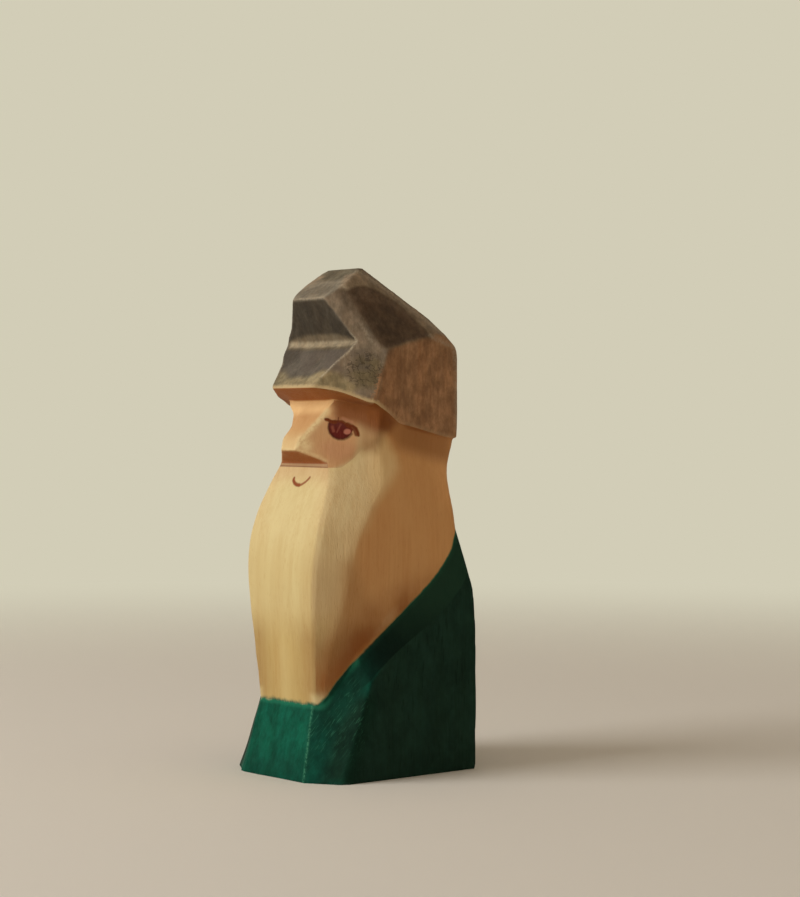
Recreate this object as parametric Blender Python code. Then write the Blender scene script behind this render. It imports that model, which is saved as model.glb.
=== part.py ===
"""A carved wooden gnome figure, 75 mm tall, standing on its flat base.

The real figure is whittled from one square maple blank and then stained.
Here the blank is parted along its carved steps and stain lines into four
solids, one for each finish: the green coat, the bare beard and hair, the
tinted face and the grey hat.

Lengths are in metres. X runs across the figure, its own left at +X, the
face looks along -Y and Z is up. The origin is at the centre of the base.
Setbacks are measured inward from the front or the back of the blank.
"""
import math

import bmesh
import bpy
from mathutils import Matrix, Vector

# Blank
BLANK_WIDTH = 0.0270
BLANK_DEPTH = 0.0288
FIGURE_HEIGHT = 0.0750
PARTING_GAP = 0.0003

# Coat
COAT_FRONT_TOP = 0.0112
COAT_TOP_SETBACK = 0.0030
COAT_STRIP_FOOT = 0.0160
COAT_STRIP_TOP = 0.0137
COAT_CHAMFER_FOOT = 0.0034
COAT_SHOULDER_WIDTH = 0.0250
COAT_SHOULDER_HEIGHT = 0.0300
BACK_CORNER = 0.0010

# Line where the beard ends and the coat begins, seen from the side
COLLAR_LOW_SETBACK = 0.0066
COLLAR_LOW_HEIGHT = 0.0157
COLLAR_MID_HEIGHT = 0.0232
COLLAR_HIGH_SETBACK = 0.0062
COLLAR_HIGH_HEIGHT = 0.0297
COLLAR_BACK_HEIGHT = 0.0356
COLLAR_BEVEL_DEPTH = 0.0012
COLLAR_BEVEL_WIDTH = 0.0040

# Beard and hair
BULGE_HEIGHT = 0.0300
BULGE_SETBACK = 0.0019
BULGE_STRIP_WIDTH = 0.0160
BEARD_WIDTH = 0.0240
BEARD_RIDGE_WIDTH = 0.0226
BEARD_RIDGE_SETBACK = 0.0061
BEARD_TIP_WIDTH = 0.0154
BEARD_TIP_SETBACK = 0.0039
BEARD_SHOULDER_HEIGHT = 0.0434
BEARD_SHOULDER_SETBACK = 0.0129
NECK_HEIGHT = 0.0439
NECK_BACK_SETBACK = 0.0044
UNDERCUT_HEIGHT = 0.0475
UNDERCUT_WIDTH = 0.0212

# Face
NOTCH_HEIGHT = 0.0455
NOTCH_SETBACK = 0.0062
NOTCH_WIDTH = 0.0112
NOSE_HEIGHT = 0.0479
NOSE_SETBACK = 0.0039
NOSE_WIDTH = 0.0044
NOSE_EDGE = 0.0005
FOREHEAD_HEIGHT = 0.0552
FOREHEAD_SETBACK = 0.0081
FOREHEAD_WIDTH = 0.0114
CHEEK_HEIGHT = 0.0494
CHEEK_SETBACK = 0.0115
CHEEK_WIDTH = 0.0220
FACE_DEPTH = 0.0036

# Hat
HAT_WIDTH = 0.0226
HAT_BACK_SETBACK = 0.0022
BRIM_HEIGHT = 0.0569
BRIM_SETBACK = 0.0043
BRIM_WIDTH = 0.0100
BRIM_EDGE = 0.0006
GROOVE_HEIGHT = 0.0639
GROOVE_SETBACK = 0.0100
GROOVE_WIDTH = 0.0160
CROWN_EDGE_HEIGHT = 0.0703
CROWN_EDGE_SETBACK = 0.00725
CROWN_EDGE_WIDTH = 0.0064
CREST_SETBACK = 0.0140
CREST_WIDTH = 0.0082
CROWN_SIDE_FRONT_HEIGHT = 0.0624
CROWN_SIDE_BACK_HEIGHT = 0.0648
CROWN_SIDE_LENGTH = 0.0090
HAT_BACK_TOP = 0.0630
HAT_SIDE_EDGE_SETBACK = 0.0103
HAT_SIDE_EDGE_HEIGHT = 0.0552
HAT_DIP_HEIGHT = 0.0513
HAT_DIP_SETBACK = 0.0110
HAT_BACK_BOTTOM = 0.0500
CROWN_RIDGE_CUT = 0.0006

FRONT = -BLANK_DEPTH / 2
BACK = BLANK_DEPTH / 2
HALF_WIDTH = BLANK_WIDTH / 2

FINISHES = {
    "coat": ((0.010, 0.105, 0.075, 1.0), 0.55),
    "beard": ((0.590, 0.420, 0.210, 1.0), 0.60),
    "face": ((0.620, 0.330, 0.140, 1.0), 0.60),
    "hat": ((0.150, 0.125, 0.095, 1.0), 0.60),
}


def clear_scene():
    """Remove whatever the scene holds."""
    for obj in list(bpy.data.objects):
        bpy.data.objects.remove(obj, do_unlink=True)


def make_collection(name, is_guide=False):
    """Return a new collection linked to the scene."""
    collection = bpy.data.collections.new(name)
    bpy.context.scene.collection.children.link(collection)
    collection.hide_render = is_guide
    return collection


def make_finish(name):
    """Return the Principled material of one stain zone."""
    colour, roughness = FINISHES[name]
    finish = bpy.data.materials.new(name + "_finish")
    finish.use_nodes = True
    finish.diffuse_color = colour
    shader = finish.node_tree.nodes["Principled BSDF"]
    shader.inputs["Base Color"].default_value = colour
    shader.inputs["Roughness"].default_value = roughness
    shader.inputs["Metallic"].default_value = 0.0
    return finish


def add_object(name, mesh, collection, finish=None):
    """Link a mesh object, and give it its finish."""
    obj = bpy.data.objects.new(name, mesh)
    collection.objects.link(obj)
    if finish is not None:
        mesh.materials.append(finish)
    return obj


def side_profile(name, outline, width, collection, finish=None):
    """Saw a side outline of (y, z) points right through a plank.

    The outline is a closed 2D curve, as thick as the plank is wide, turned
    so that its thickness runs along X.
    """
    curve = bpy.data.curves.new(name + "_outline", "CURVE")
    curve.dimensions = "2D"
    curve.fill_mode = "BOTH"
    curve.extrude = width / 2
    spline = curve.splines.new("POLY")
    spline.points.add(len(outline) - 1)
    for point, (y, z) in zip(spline.points, outline):
        point.co = (y, z, 0.0, 1.0)
    spline.use_cyclic_u = True

    guide = bpy.data.objects.new(name + "_outline", curve)
    bpy.context.scene.collection.objects.link(guide)
    guide.matrix_world = Matrix(((0, 0, 1, 0), (1, 0, 0, 0), (0, 1, 0, 0), (0, 0, 0, 1)))
    bpy.context.view_layer.update()
    depsgraph = bpy.context.evaluated_depsgraph_get()
    mesh = bpy.data.meshes.new_from_object(guide.evaluated_get(depsgraph))
    placing = guide.matrix_world.copy()
    bpy.data.objects.remove(guide, do_unlink=True)
    bpy.data.curves.remove(curve)

    bm = bmesh.new()
    bm.from_mesh(mesh)
    bmesh.ops.remove_doubles(bm, verts=bm.verts, dist=0.000001)
    bmesh.ops.recalc_face_normals(bm, faces=bm.faces)
    bm.to_mesh(mesh)
    bm.free()
    obj = add_object(name, mesh, collection, finish)
    obj.matrix_world = placing
    return obj


def carved_column(name, stations, collection, finish=None):
    """Raise a plan outline from station to station.

    Each station is a height and the corners of the figure's left half, from
    the front strip round to the back. The first outline is extruded up to
    each later one, and its corners are moved there.
    """
    def plan(corners):
        return list(corners) + [(-x, y) for x, y in reversed(corners)]

    bm = bmesh.new()
    height, corners = stations[0]
    ring = [bm.verts.new((x, y, height)) for x, y in plan(corners)]
    foot = face = bm.faces.new(ring)
    for height, corners in stations[1:]:
        raised = bmesh.ops.extrude_face_region(bm, geom=[face])["geom"]
        if face is not foot:
            bm.faces.remove(face)
        face = next(item for item in raised if isinstance(item, bmesh.types.BMFace))
        moved = []
        for old, target in zip(ring, plan(corners)):
            vert = min(face.verts, key=lambda item: (item.co - old.co).length)
            moved.append((vert, Vector((target[0], target[1], height))))
        for vert, place in moved:
            vert.co = place
        ring = [vert for vert, place in moved]
    bmesh.ops.triangulate(bm, faces=bm.faces)
    bmesh.ops.recalc_face_normals(bm, faces=bm.faces)
    mesh = bpy.data.meshes.new(name)
    bm.to_mesh(mesh)
    bm.free()
    return add_object(name, mesh, collection, finish)


def as_guide(obj):
    """Keep a cutter out of the finished figure."""
    obj.hide_render = True
    obj.display_type = "WIRE"
    return obj


def carve(obj, cutter):
    """Cut one shape out of a solid."""
    cut = obj.modifiers.new(cutter.name, "BOOLEAN")
    cut.operation = "DIFFERENCE"
    cut.solver = "EXACT"
    cut.object = as_guide(cutter)


def knife_facet(obj, name, corners, cutters, depth=0.0):
    """Pare a solid to the plane through three corners, on both sides.

    The corners are given on the figure's left. Whatever lies further out
    than the plane goes. A depth moves the plane inward.
    """
    reach = 2 * FIGURE_HEIGHT
    for side, mirror in (("left", 1), ("right", -1)):
        a, b, c = (Vector((x * mirror, y, z)) for x, y, z in corners)
        normal = (b - a).cross(c - a).normalized()
        if normal.x * mirror < 0:
            normal = -normal
        through = (a + b + c) / 3 - normal * depth
        bpy.ops.mesh.primitive_cube_add(size=reach)
        block = bpy.context.active_object
        block.name = name + "_" + side
        for collection in list(block.users_collection):
            collection.objects.unlink(block)
        cutters.objects.link(block)
        block.rotation_mode = "QUATERNION"
        block.rotation_quaternion = Vector((0, 0, 1)).rotation_difference(normal)
        block.location = through + normal * reach / 2
        carve(obj, block)


def blend(low, high, share):
    """Return the value that lies at a share of the way from low to high."""
    return low + (high - low) * share


def collar_line():
    """Return the side view of the line between beard and coat, front to back."""
    return [
        (FRONT + COAT_TOP_SETBACK, COAT_FRONT_TOP),
        (FRONT + COLLAR_LOW_SETBACK, COLLAR_LOW_HEIGHT),
        (0.0, COLLAR_MID_HEIGHT),
        (BACK - COLLAR_HIGH_SETBACK, COLLAR_HIGH_HEIGHT),
        (BACK - HAT_BACK_SETBACK, COLLAR_BACK_HEIGHT),
    ]


def hat_edge_line():
    """Return the side view of the hat's lower edge, front to back."""
    return [
        (FRONT + BRIM_SETBACK, BRIM_HEIGHT),
        (FRONT + FOREHEAD_SETBACK, FOREHEAD_HEIGHT),
        (FRONT + HAT_SIDE_EDGE_SETBACK, HAT_SIDE_EDGE_HEIGHT),
        (BACK - HAT_DIP_SETBACK, HAT_DIP_HEIGHT),
        (BACK - HAT_BACK_SETBACK, HAT_BACK_BOTTOM),
    ]


def region_beyond(line, height, reach):
    """Close a line into an outline that reaches up or down to a height."""
    (first_y, first_z), (last_y, last_z) = line[0], line[-1]
    return (
        [(first_y - reach, height), (first_y - reach, first_z)]
        + list(line)
        + [(last_y + reach, last_z), (last_y + reach, height)]
    )


def cheek_corners():
    """Return three corners of the left cheek: brow, nose tip and cheek ridge."""
    return [
        (FOREHEAD_WIDTH / 2, FRONT + FOREHEAD_SETBACK, FOREHEAD_HEIGHT),
        (NOSE_WIDTH / 2, FRONT + NOSE_SETBACK, NOSE_HEIGHT),
        (CHEEK_WIDTH / 2, FRONT + CHEEK_SETBACK, CHEEK_HEIGHT),
    ]


def cheek_half_width(y, z):
    """Return how far the cheek plane lies from the middle at a place."""
    brow, nose, ridge = (Vector(corner) for corner in cheek_corners())
    normal = (nose - brow).cross(ridge - brow)
    return brow.x - (normal.y * (y - brow.y) + normal.z * (z - brow.z)) / normal.x


def shifted(line, rise):
    """Return a line moved up by a rise, or down by a negative one."""
    return [(y, z + rise) for y, z in line]


def coat_stations():
    """Return the coat's plan outlines from the foot up."""
    def outline(half, front, back):
        return [(half, front), (half, back - BACK_CORNER), (half - BACK_CORNER, back)]

    top = COLLAR_BACK_HEIGHT + BACK_CORNER
    front = FRONT + COAT_TOP_SETBACK
    shoulder = COAT_SHOULDER_WIDTH / 2
    collar_back = BACK - HAT_BACK_SETBACK - PARTING_GAP
    return [
        (0.0, outline(HALF_WIDTH, FRONT, BACK)),
        (COAT_FRONT_TOP, outline(HALF_WIDTH, front, BACK)),
        (blend(COAT_FRONT_TOP, COAT_SHOULDER_HEIGHT, 0.6),
         outline(blend(HALF_WIDTH, shoulder, 0.4), front, blend(BACK, collar_back, 0.1))),
        (COAT_SHOULDER_HEIGHT, outline(shoulder, front, blend(BACK, collar_back, 0.5))),
        (top, outline(BEARD_WIDTH / 2, front, collar_back)),
    ]


def beard_stations():
    """Return the plan outlines of beard, neck and hair from the tip up."""
    def outline(strip, front, ridge, ridge_y, side, back):
        return [
            (strip / 2, front),
            (ridge / 2, ridge_y),
            (side / 2, back - BACK_CORNER),
            (side / 2 - BACK_CORNER, back),
        ]

    neck = BACK - NECK_BACK_SETBACK
    hat_back = BACK - HAT_BACK_SETBACK
    bulge = FRONT + BULGE_SETBACK
    tip = FRONT + COAT_TOP_SETBACK
    notch = FRONT + NOTCH_SETBACK
    stations = []

    def station(height, *sizes):
        stations.append((height, outline(*sizes)))

    def head_station(height, ridge_y, side, back):
        """Add a station whose front corner lies flush with the cheek."""
        ridge = min(2 * cheek_half_width(ridge_y, height), side)
        station(height, 2 * cheek_half_width(notch, height), notch, ridge, ridge_y,
                side, back)

    station(COAT_FRONT_TOP, COAT_STRIP_TOP, tip, BEARD_TIP_WIDTH,
            FRONT + BEARD_TIP_SETBACK, BEARD_WIDTH, hat_back)
    station(blend(COAT_FRONT_TOP, BULGE_HEIGHT, 0.48),
            blend(COAT_STRIP_TOP, BULGE_STRIP_WIDTH, 0.35), blend(tip, bulge, 0.55),
            blend(BEARD_TIP_WIDTH, BEARD_RIDGE_WIDTH, 0.36),
            FRONT + blend(BEARD_TIP_SETBACK, BEARD_RIDGE_SETBACK, 0.28),
            BEARD_WIDTH, hat_back)
    station(blend(COAT_FRONT_TOP, BULGE_HEIGHT, 0.76),
            blend(COAT_STRIP_TOP, BULGE_STRIP_WIDTH, 0.75), blend(tip, bulge, 0.90),
            blend(BEARD_TIP_WIDTH, BEARD_RIDGE_WIDTH, 0.76),
            FRONT + blend(BEARD_TIP_SETBACK, BEARD_RIDGE_SETBACK, 0.75),
            BEARD_WIDTH, hat_back)
    station(BULGE_HEIGHT, BULGE_STRIP_WIDTH, bulge, BEARD_RIDGE_WIDTH,
            FRONT + BEARD_RIDGE_SETBACK, BEARD_WIDTH, hat_back)
    station(blend(BULGE_HEIGHT, NOTCH_HEIGHT, 0.33), BULGE_STRIP_WIDTH,
            blend(bulge, notch, 0.14), BEARD_RIDGE_WIDTH,
            FRONT + blend(BEARD_RIDGE_SETBACK, BEARD_SHOULDER_SETBACK, 0.20),
            BEARD_WIDTH, blend(hat_back, neck, 0.20))
    station(blend(BULGE_HEIGHT, NOTCH_HEIGHT, 0.65),
            blend(BULGE_STRIP_WIDTH, NOTCH_WIDTH, 0.22), blend(bulge, notch, 0.48),
            BEARD_RIDGE_WIDTH,
            FRONT + blend(BEARD_RIDGE_SETBACK, BEARD_SHOULDER_SETBACK, 0.58),
            blend(BEARD_WIDTH, CHEEK_WIDTH, 0.30), blend(hat_back, neck, 0.70))
    station(BEARD_SHOULDER_HEIGHT, blend(BULGE_STRIP_WIDTH, NOTCH_WIDTH, 0.60),
            blend(bulge, notch, 0.86), BEARD_RIDGE_WIDTH,
            FRONT + BEARD_SHOULDER_SETBACK,
            blend(BEARD_WIDTH, CHEEK_WIDTH, 0.60), neck)
    head_station(NOTCH_HEIGHT,
                 FRONT + blend(BEARD_SHOULDER_SETBACK, CHEEK_SETBACK, 0.3),
                 blend(BEARD_WIDTH, UNDERCUT_WIDTH, 0.7), blend(neck, hat_back, 0.15))
    head_station(UNDERCUT_HEIGHT,
                 FRONT + blend(BEARD_SHOULDER_SETBACK, CHEEK_SETBACK, 0.7),
                 UNDERCUT_WIDTH, blend(neck, hat_back, 0.50))
    head_station(HAT_BACK_BOTTOM, FRONT + CHEEK_SETBACK,
                 blend(UNDERCUT_WIDTH, CHEEK_WIDTH, 0.8), hat_back)
    head_station(BRIM_HEIGHT + BACK_CORNER, FRONT + CHEEK_SETBACK, CHEEK_WIDTH, hat_back)
    return stations


def make_coat(parts, cutters):
    """Carve the coat, from the flat base up to the collar."""
    coat = carved_column("coat", coat_stations(), parts, make_finish("coat"))
    above = region_beyond(shifted(collar_line(), -PARTING_GAP), FIGURE_HEIGHT, BLANK_DEPTH)
    carve(coat, side_profile("above_collar", above, 2 * BLANK_WIDTH, cutters))

    knife_facet(coat, "coat_chamfer", [
        (COAT_STRIP_FOOT / 2, FRONT, 0.0),
        (COAT_STRIP_TOP / 2, FRONT + COAT_TOP_SETBACK, COAT_FRONT_TOP),
        (HALF_WIDTH, FRONT + COAT_CHAMFER_FOOT, 0.0),
    ], cutters)

    (low_y, low_z), (high_y, high_z) = collar_line()[1], collar_line()[3]
    run = Vector((0.0, high_y - low_y, high_z - low_z)).normalized()
    down = Vector((0.0, run.z, -run.y)) * COLLAR_BEVEL_WIDTH
    inner = HALF_WIDTH - COLLAR_BEVEL_DEPTH
    knife_facet(coat, "collar_bevel", [
        (inner, low_y, low_z),
        (inner, high_y, high_z),
        (HALF_WIDTH, low_y + down.y, low_z + down.z),
    ], cutters)
    return coat


def make_beard(parts, cutters):
    """Carve the beard with the neck and the hair under the hat."""
    beard = carved_column("beard", beard_stations(), parts, make_finish("beard"))
    below = region_beyond(collar_line(), -BLANK_DEPTH, BLANK_DEPTH)
    carve(beard, side_profile("below_collar", below, 2 * BLANK_WIDTH, cutters))
    head_top = region_beyond(shifted(hat_edge_line(), -PARTING_GAP),
                             FIGURE_HEIGHT, BLANK_DEPTH)
    carve(beard, side_profile("above_hair", head_top, 2 * BLANK_WIDTH, cutters))

    pocket_back = FRONT + NOTCH_SETBACK + FACE_DEPTH
    pocket = [
        (FRONT - BLANK_DEPTH, NOTCH_HEIGHT),
        (pocket_back, NOTCH_HEIGHT),
        (pocket_back, FIGURE_HEIGHT),
        (FRONT - BLANK_DEPTH, FIGURE_HEIGHT),
    ]
    carve(beard, side_profile("face_pocket", pocket, 2 * BLANK_WIDTH, cutters))
    return beard


def make_face(parts, cutters):
    """Carve the forehead, the nose and the cheeks."""
    nose = FRONT + NOSE_SETBACK
    back = FRONT + NOTCH_SETBACK + FACE_DEPTH - PARTING_GAP
    floor = NOTCH_HEIGHT + PARTING_GAP
    outline = [
        (back, floor),
        (FRONT + NOTCH_SETBACK, floor),
        (nose, NOSE_HEIGHT),
        (nose, NOSE_HEIGHT + NOSE_EDGE),
        (FRONT + FOREHEAD_SETBACK, FOREHEAD_HEIGHT),
        (back, BRIM_HEIGHT),
    ]
    face = side_profile("face", outline, BLANK_WIDTH, parts, make_finish("face"))
    head_top = region_beyond(shifted(hat_edge_line(), -PARTING_GAP),
                             FIGURE_HEIGHT, BLANK_DEPTH)
    carve(face, side_profile("above_face", head_top, 2 * BLANK_WIDTH, cutters))
    knife_facet(face, "cheek", cheek_corners(), cutters)
    return face


def make_hat(parts, cutters):
    """Carve the hat with its brim, its front groove and its crown."""
    edge = hat_edge_line()
    brim_y = FRONT + BRIM_SETBACK
    groove_y = FRONT + GROOVE_SETBACK
    crown_y = FRONT + CROWN_EDGE_SETBACK
    crest_y = FRONT + CREST_SETBACK
    back_y = BACK - HAT_BACK_SETBACK
    outline = list(edge) + [
        (back_y, HAT_BACK_TOP),
        (crest_y, FIGURE_HEIGHT),
        (crown_y, CROWN_EDGE_HEIGHT),
        (groove_y, GROOVE_HEIGHT),
        (brim_y, BRIM_HEIGHT + BRIM_EDGE),
    ]
    hat = side_profile("hat", outline, HAT_WIDTH, parts, make_finish("hat"))

    crown_corner = (CROWN_EDGE_WIDTH / 2, crown_y, CROWN_EDGE_HEIGHT)
    temple = [
        (BRIM_WIDTH / 2, brim_y, BRIM_HEIGHT + BRIM_EDGE),
        (GROOVE_WIDTH / 2, groove_y, GROOVE_HEIGHT),
        crown_corner,
    ]
    knife_facet(hat, "temple", temple, cutters)

    side_back = BACK - HAT_DIP_SETBACK + CROWN_SIDE_LENGTH / 2
    crown_side = [
        (CREST_WIDTH / 2, crest_y, FIGURE_HEIGHT),
        (HAT_WIDTH / 2, side_back - CROWN_SIDE_LENGTH, CROWN_SIDE_FRONT_HEIGHT),
        (HAT_WIDTH / 2, side_back, CROWN_SIDE_BACK_HEIGHT),
    ]
    knife_facet(hat, "crown_side", crown_side, cutters)

    crest = Vector(crown_side[0])
    side_normal = (Vector(crown_side[1]) - crest).cross(Vector(crown_side[2]) - crest)
    side_normal = side_normal.normalized() * math.copysign(1.0, side_normal.x)
    fall = Vector((0.0, FIGURE_HEIGHT - HAT_BACK_TOP, back_y - crest_y)).normalized()
    ridge_normal = (side_normal + fall).normalized()
    along = side_normal.cross(fall).normalized()
    across = ridge_normal.cross(along)
    knife_facet(hat, "crown_ridge", [
        crest,
        crest + along * HAT_WIDTH,
        crest + across * HAT_WIDTH,
    ], cutters, depth=CROWN_RIDGE_CUT)
    return hat


def main():
    """Build the figure."""
    clear_scene()
    parts = make_collection("carved_gnome")
    cutters = make_collection("cutters", is_guide=True)
    make_coat(parts, cutters)
    make_beard(parts, cutters)
    make_face(parts, cutters)
    make_hat(parts, cutters)


main()
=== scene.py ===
"""Looks of a small gnome figure, whittled from one maple blank and stained.

The figure is carved whole, as the real one is: the coat block, the beard and
hair, the face and the hat are roughed out with flat cuts, joined into one
block, softened and given the waver of a knife. The block is then parted along
its stain lines, so that each finish is a piece that stands for one CAD node.

Sizes in the classes are in millimetres, and meshes are in metres. X runs
across the figure, its own left at +X, the face looks along -Y and Z is up.
"""
import logging
import math
from dataclasses import dataclass, field
from enum import Enum
from functools import partial

import bmesh
import bpy
import numpy as np
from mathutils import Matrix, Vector, kdtree, noise


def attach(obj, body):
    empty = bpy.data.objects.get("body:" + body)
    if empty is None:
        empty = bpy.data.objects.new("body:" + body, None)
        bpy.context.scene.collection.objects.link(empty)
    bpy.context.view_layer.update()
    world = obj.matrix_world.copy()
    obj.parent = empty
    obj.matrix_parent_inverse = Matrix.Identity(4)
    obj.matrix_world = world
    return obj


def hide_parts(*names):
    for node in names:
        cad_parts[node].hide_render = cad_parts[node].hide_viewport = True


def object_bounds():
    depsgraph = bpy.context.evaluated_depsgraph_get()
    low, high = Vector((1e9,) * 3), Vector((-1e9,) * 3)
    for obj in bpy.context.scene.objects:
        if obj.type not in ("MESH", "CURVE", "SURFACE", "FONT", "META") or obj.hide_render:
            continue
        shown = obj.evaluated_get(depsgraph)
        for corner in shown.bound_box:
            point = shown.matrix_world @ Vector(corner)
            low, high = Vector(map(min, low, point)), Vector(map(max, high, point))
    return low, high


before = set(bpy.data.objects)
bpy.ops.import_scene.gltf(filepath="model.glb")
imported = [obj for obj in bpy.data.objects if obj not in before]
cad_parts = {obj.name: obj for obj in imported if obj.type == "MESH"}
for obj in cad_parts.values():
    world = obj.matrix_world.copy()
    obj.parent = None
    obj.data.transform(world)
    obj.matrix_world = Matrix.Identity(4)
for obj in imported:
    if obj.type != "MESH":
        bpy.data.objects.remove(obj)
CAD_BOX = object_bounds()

logging.basicConfig(level=logging.INFO, format="%(message)s")
log = logging.getLogger("gnome")

MM = 0.001
Point = tuple[float, float, float]
SidePoint = tuple[float, float]
Points = tuple[Point, ...]
SidePoints = tuple[SidePoint, ...]
# A place, the way in which the cut there faces, and how deep it lies below the place
Blunt = tuple[Point, Point, float]
BMesh = bmesh.types.BMesh
Mesh = bpy.types.Mesh
Object = bpy.types.Object
Tree = bpy.types.NodeTree
Socket = bpy.types.NodeSocket


class Zone(Enum):
    """A stain zone of the figure: its CAD node and its material slot."""

    COAT = ("coat", "green_stained_maple")
    BEARD = ("beard", "bare_maple")
    FACE = ("face", "skin_washed_maple")
    HAT = ("hat", "grey_stained_maple")

    @property
    def node(self) -> str:
        """Name of the CAD node that the zone's piece stands for."""
        return self.value[0]

    @property
    def slot(self) -> str:
        """Name of the record's material slot."""
        return self.value[1]


def linear(colour: str) -> tuple[float, float, float, float]:
    """Turn an sRGB hex colour into linear values with full opacity."""
    channels = [int(colour.lstrip("#")[i:i + 2], 16) / 255 for i in (0, 2, 4)]
    return (*(c / 12.92 if c <= 0.04045 else ((c + 0.055) / 1.055) ** 2.4
              for c in channels), 1.0)


# Carving

def mm(x: float, y: float, z: float) -> Vector:
    """Return a place given in millimetres as a vector in metres."""
    return Vector((x, y, z)) * MM


def pare(bm: BMesh, through: Vector, outward: Vector) -> None:
    """Slice off what lies beyond a plane and close the cut.

    Args:
        bm: The solid.
        through: A point of the plane.
        outward: The plane's normal, towards the waste.
    """
    found = bmesh.ops.bisect_plane(
        bm, geom=bm.verts[:] + bm.edges[:] + bm.faces[:], dist=1e-8,
        plane_co=through, plane_no=outward, clear_outer=True)
    rim = [item for item in found["geom_cut"] if isinstance(item, bmesh.types.BMEdge)]
    if rim:
        bmesh.ops.holes_fill(bm, edges=rim, sides=0)


def pare_sides(bm: BMesh, at: Point, outward: Point | Vector, depth: float = 0.0) -> None:
    """Slice off what lies beyond a plane on the figure's left, and the same on its right.

    Args:
        bm: The solid.
        at: A point on the figure's left, in millimetres.
        outward: The plane's normal, towards the waste.
        depth: How far below the point the plane lies, in millimetres.
    """
    for side in (1, -1):
        way = Vector((outward[0] * side, outward[1], outward[2])).normalized()
        pare(bm, mm(at[0] * side, at[1], at[2]) - way * depth * MM, way)


def facing(corners: Points, towards: Point = (1.0, 0.0, 0.0)) -> Vector:
    """Return the way that a facet faces.

    Args:
        corners: Three corners of the facet.
        towards: A direction on the facet's outer side.

    Returns:
        The normal of the facet's plane, in unit length.
    """
    a, b, c = (Vector(corner) for corner in corners)
    square = (b - a).cross(c - a).normalized()
    return square if square.dot(Vector(towards)) > 0 else -square


def pare_across(bm: BMesh, first: SidePoint, second: SidePoint) -> None:
    """Pare a solid by a plane that runs straight across the figure.

    Args:
        bm: The solid.
        first: A (y, z) point of the plane, in millimetres.
        second: A later (y, z) point. The waste lies to the left of the way
            from first to second, seen from the figure's left with -Y to the
            left and Z up.
    """
    along = Vector((0.0, second[0] - first[0], second[1] - first[1]))
    pare(bm, mm(0.0, *first), Vector((0.0, -along.z, along.y)).normalized())


def raise_faces(bm: BMesh, lift: Vector) -> None:
    """Extrude all faces of a sheet into a solid, by a vector in metres."""
    raised = bmesh.ops.extrude_face_region(bm, geom=bm.faces[:])["geom"]
    bmesh.ops.translate(bm, vec=lift, verts=[item for item in raised
                                             if isinstance(item, bmesh.types.BMVert)])


def sawn_plank(outline: list[SidePoint], half_width: float) -> BMesh:
    """Saw a side outline right through a plank.

    Args:
        outline: Closed outline of (y, z) points, in millimetres.
        half_width: Half the plank's thickness across the figure.

    Returns:
        The sawn solid.
    """
    bm = bmesh.new()
    bm.faces.new([bm.verts.new(mm(-half_width, y, z)) for y, z in outline])
    raise_faces(bm, mm(2 * half_width, 0, 0))
    bmesh.ops.recalc_face_normals(bm, faces=bm.faces)
    return bm


def blank(low: Point, high: Point) -> BMesh:
    """Return a rectangular blank.

    Args:
        low: Its corner with the lowest values, in millimetres.
        high: Its corner with the highest values.

    Returns:
        The solid.
    """
    bm = bmesh.new()
    bmesh.ops.create_cube(bm, size=1.0)
    size = [h - l for l, h in zip(low, high)]
    middle = [(h + l) / 2 for l, h in zip(low, high)]
    bmesh.ops.scale(bm, vec=mm(*size), verts=bm.verts)
    bmesh.ops.translate(bm, vec=mm(*middle), verts=bm.verts)
    return bm


def eased(line: tuple[tuple[float, ...], ...], steps: int) -> list[tuple[float, ...]]:
    """Run a smooth curve through the points of a line.

    Args:
        line: The points, in any number of axes.
        steps: How many spans the curve gets between two points.

    Returns:
        The points of the curve, the given ones among them.
    """
    points = np.array(line)
    padded = np.vstack([2 * points[0] - points[1], points, 2 * points[-1] - points[-2]])
    curve = []
    for before, start, end, after in zip(padded, padded[1:], padded[2:], padded[3:]):
        for share in np.arange(steps) / steps:
            curve.append(0.5 * (
                2 * start + (end - before) * share
                + (2 * before - 5 * start + 4 * end - after) * share ** 2
                + (3 * start - before - 3 * end + after) * share ** 3))
    curve.append(points[-1])
    return [tuple(float(value) for value in point) for point in curve]


def ruled_cutter(inner: list[Point], outer: list[Point], overlap: float,
                 lift: Point, side: int) -> BMesh:
    """Make the tool of a ruled cut that twists along two lines.

    Args:
        inner: Points along the cut's inner line, in millimetres.
        outer: Points along its outer line, one for each inner point.
        overlap: How far the tool reaches past both lines, as a share of the
            distance between them.
        lift: The way in which the tool leaves the cut, in millimetres.
        side: 1 for the figure's left, -1 for its right.

    Returns:
        The closed tool.
    """
    bm = bmesh.new()
    lines = []
    for near, far in ((inner, outer), (outer, inner)):
        chain = []
        for a, b in zip(near, far):
            reach = mm(*a) + (mm(*a) - mm(*b)) * overlap
            chain.append(bm.verts.new((reach.x * side, reach.y, reach.z)))
        lines.append([bm.edges.new(pair) for pair in zip(chain, chain[1:])])
    bmesh.ops.bridge_loops(bm, edges=lines[0] + lines[1])
    raise_faces(bm, mm(*lift))
    return bm


def into_mesh(bm: BMesh, name: str, triangles: bool = True) -> Mesh:
    """Turn a bmesh into a mesh and free it.

    Args:
        bm: The bmesh.
        name: The mesh's name.
        triangles: Whether the faces become triangles that all face outward.

    Returns:
        The mesh.
    """
    if triangles:
        bmesh.ops.triangulate(bm, faces=bm.faces, ngon_method="EAR_CLIP")
        bmesh.ops.recalc_face_normals(bm, faces=bm.faces)
    mesh = bpy.data.meshes.new(name)
    bm.to_mesh(mesh)
    bm.free()
    return mesh


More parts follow.
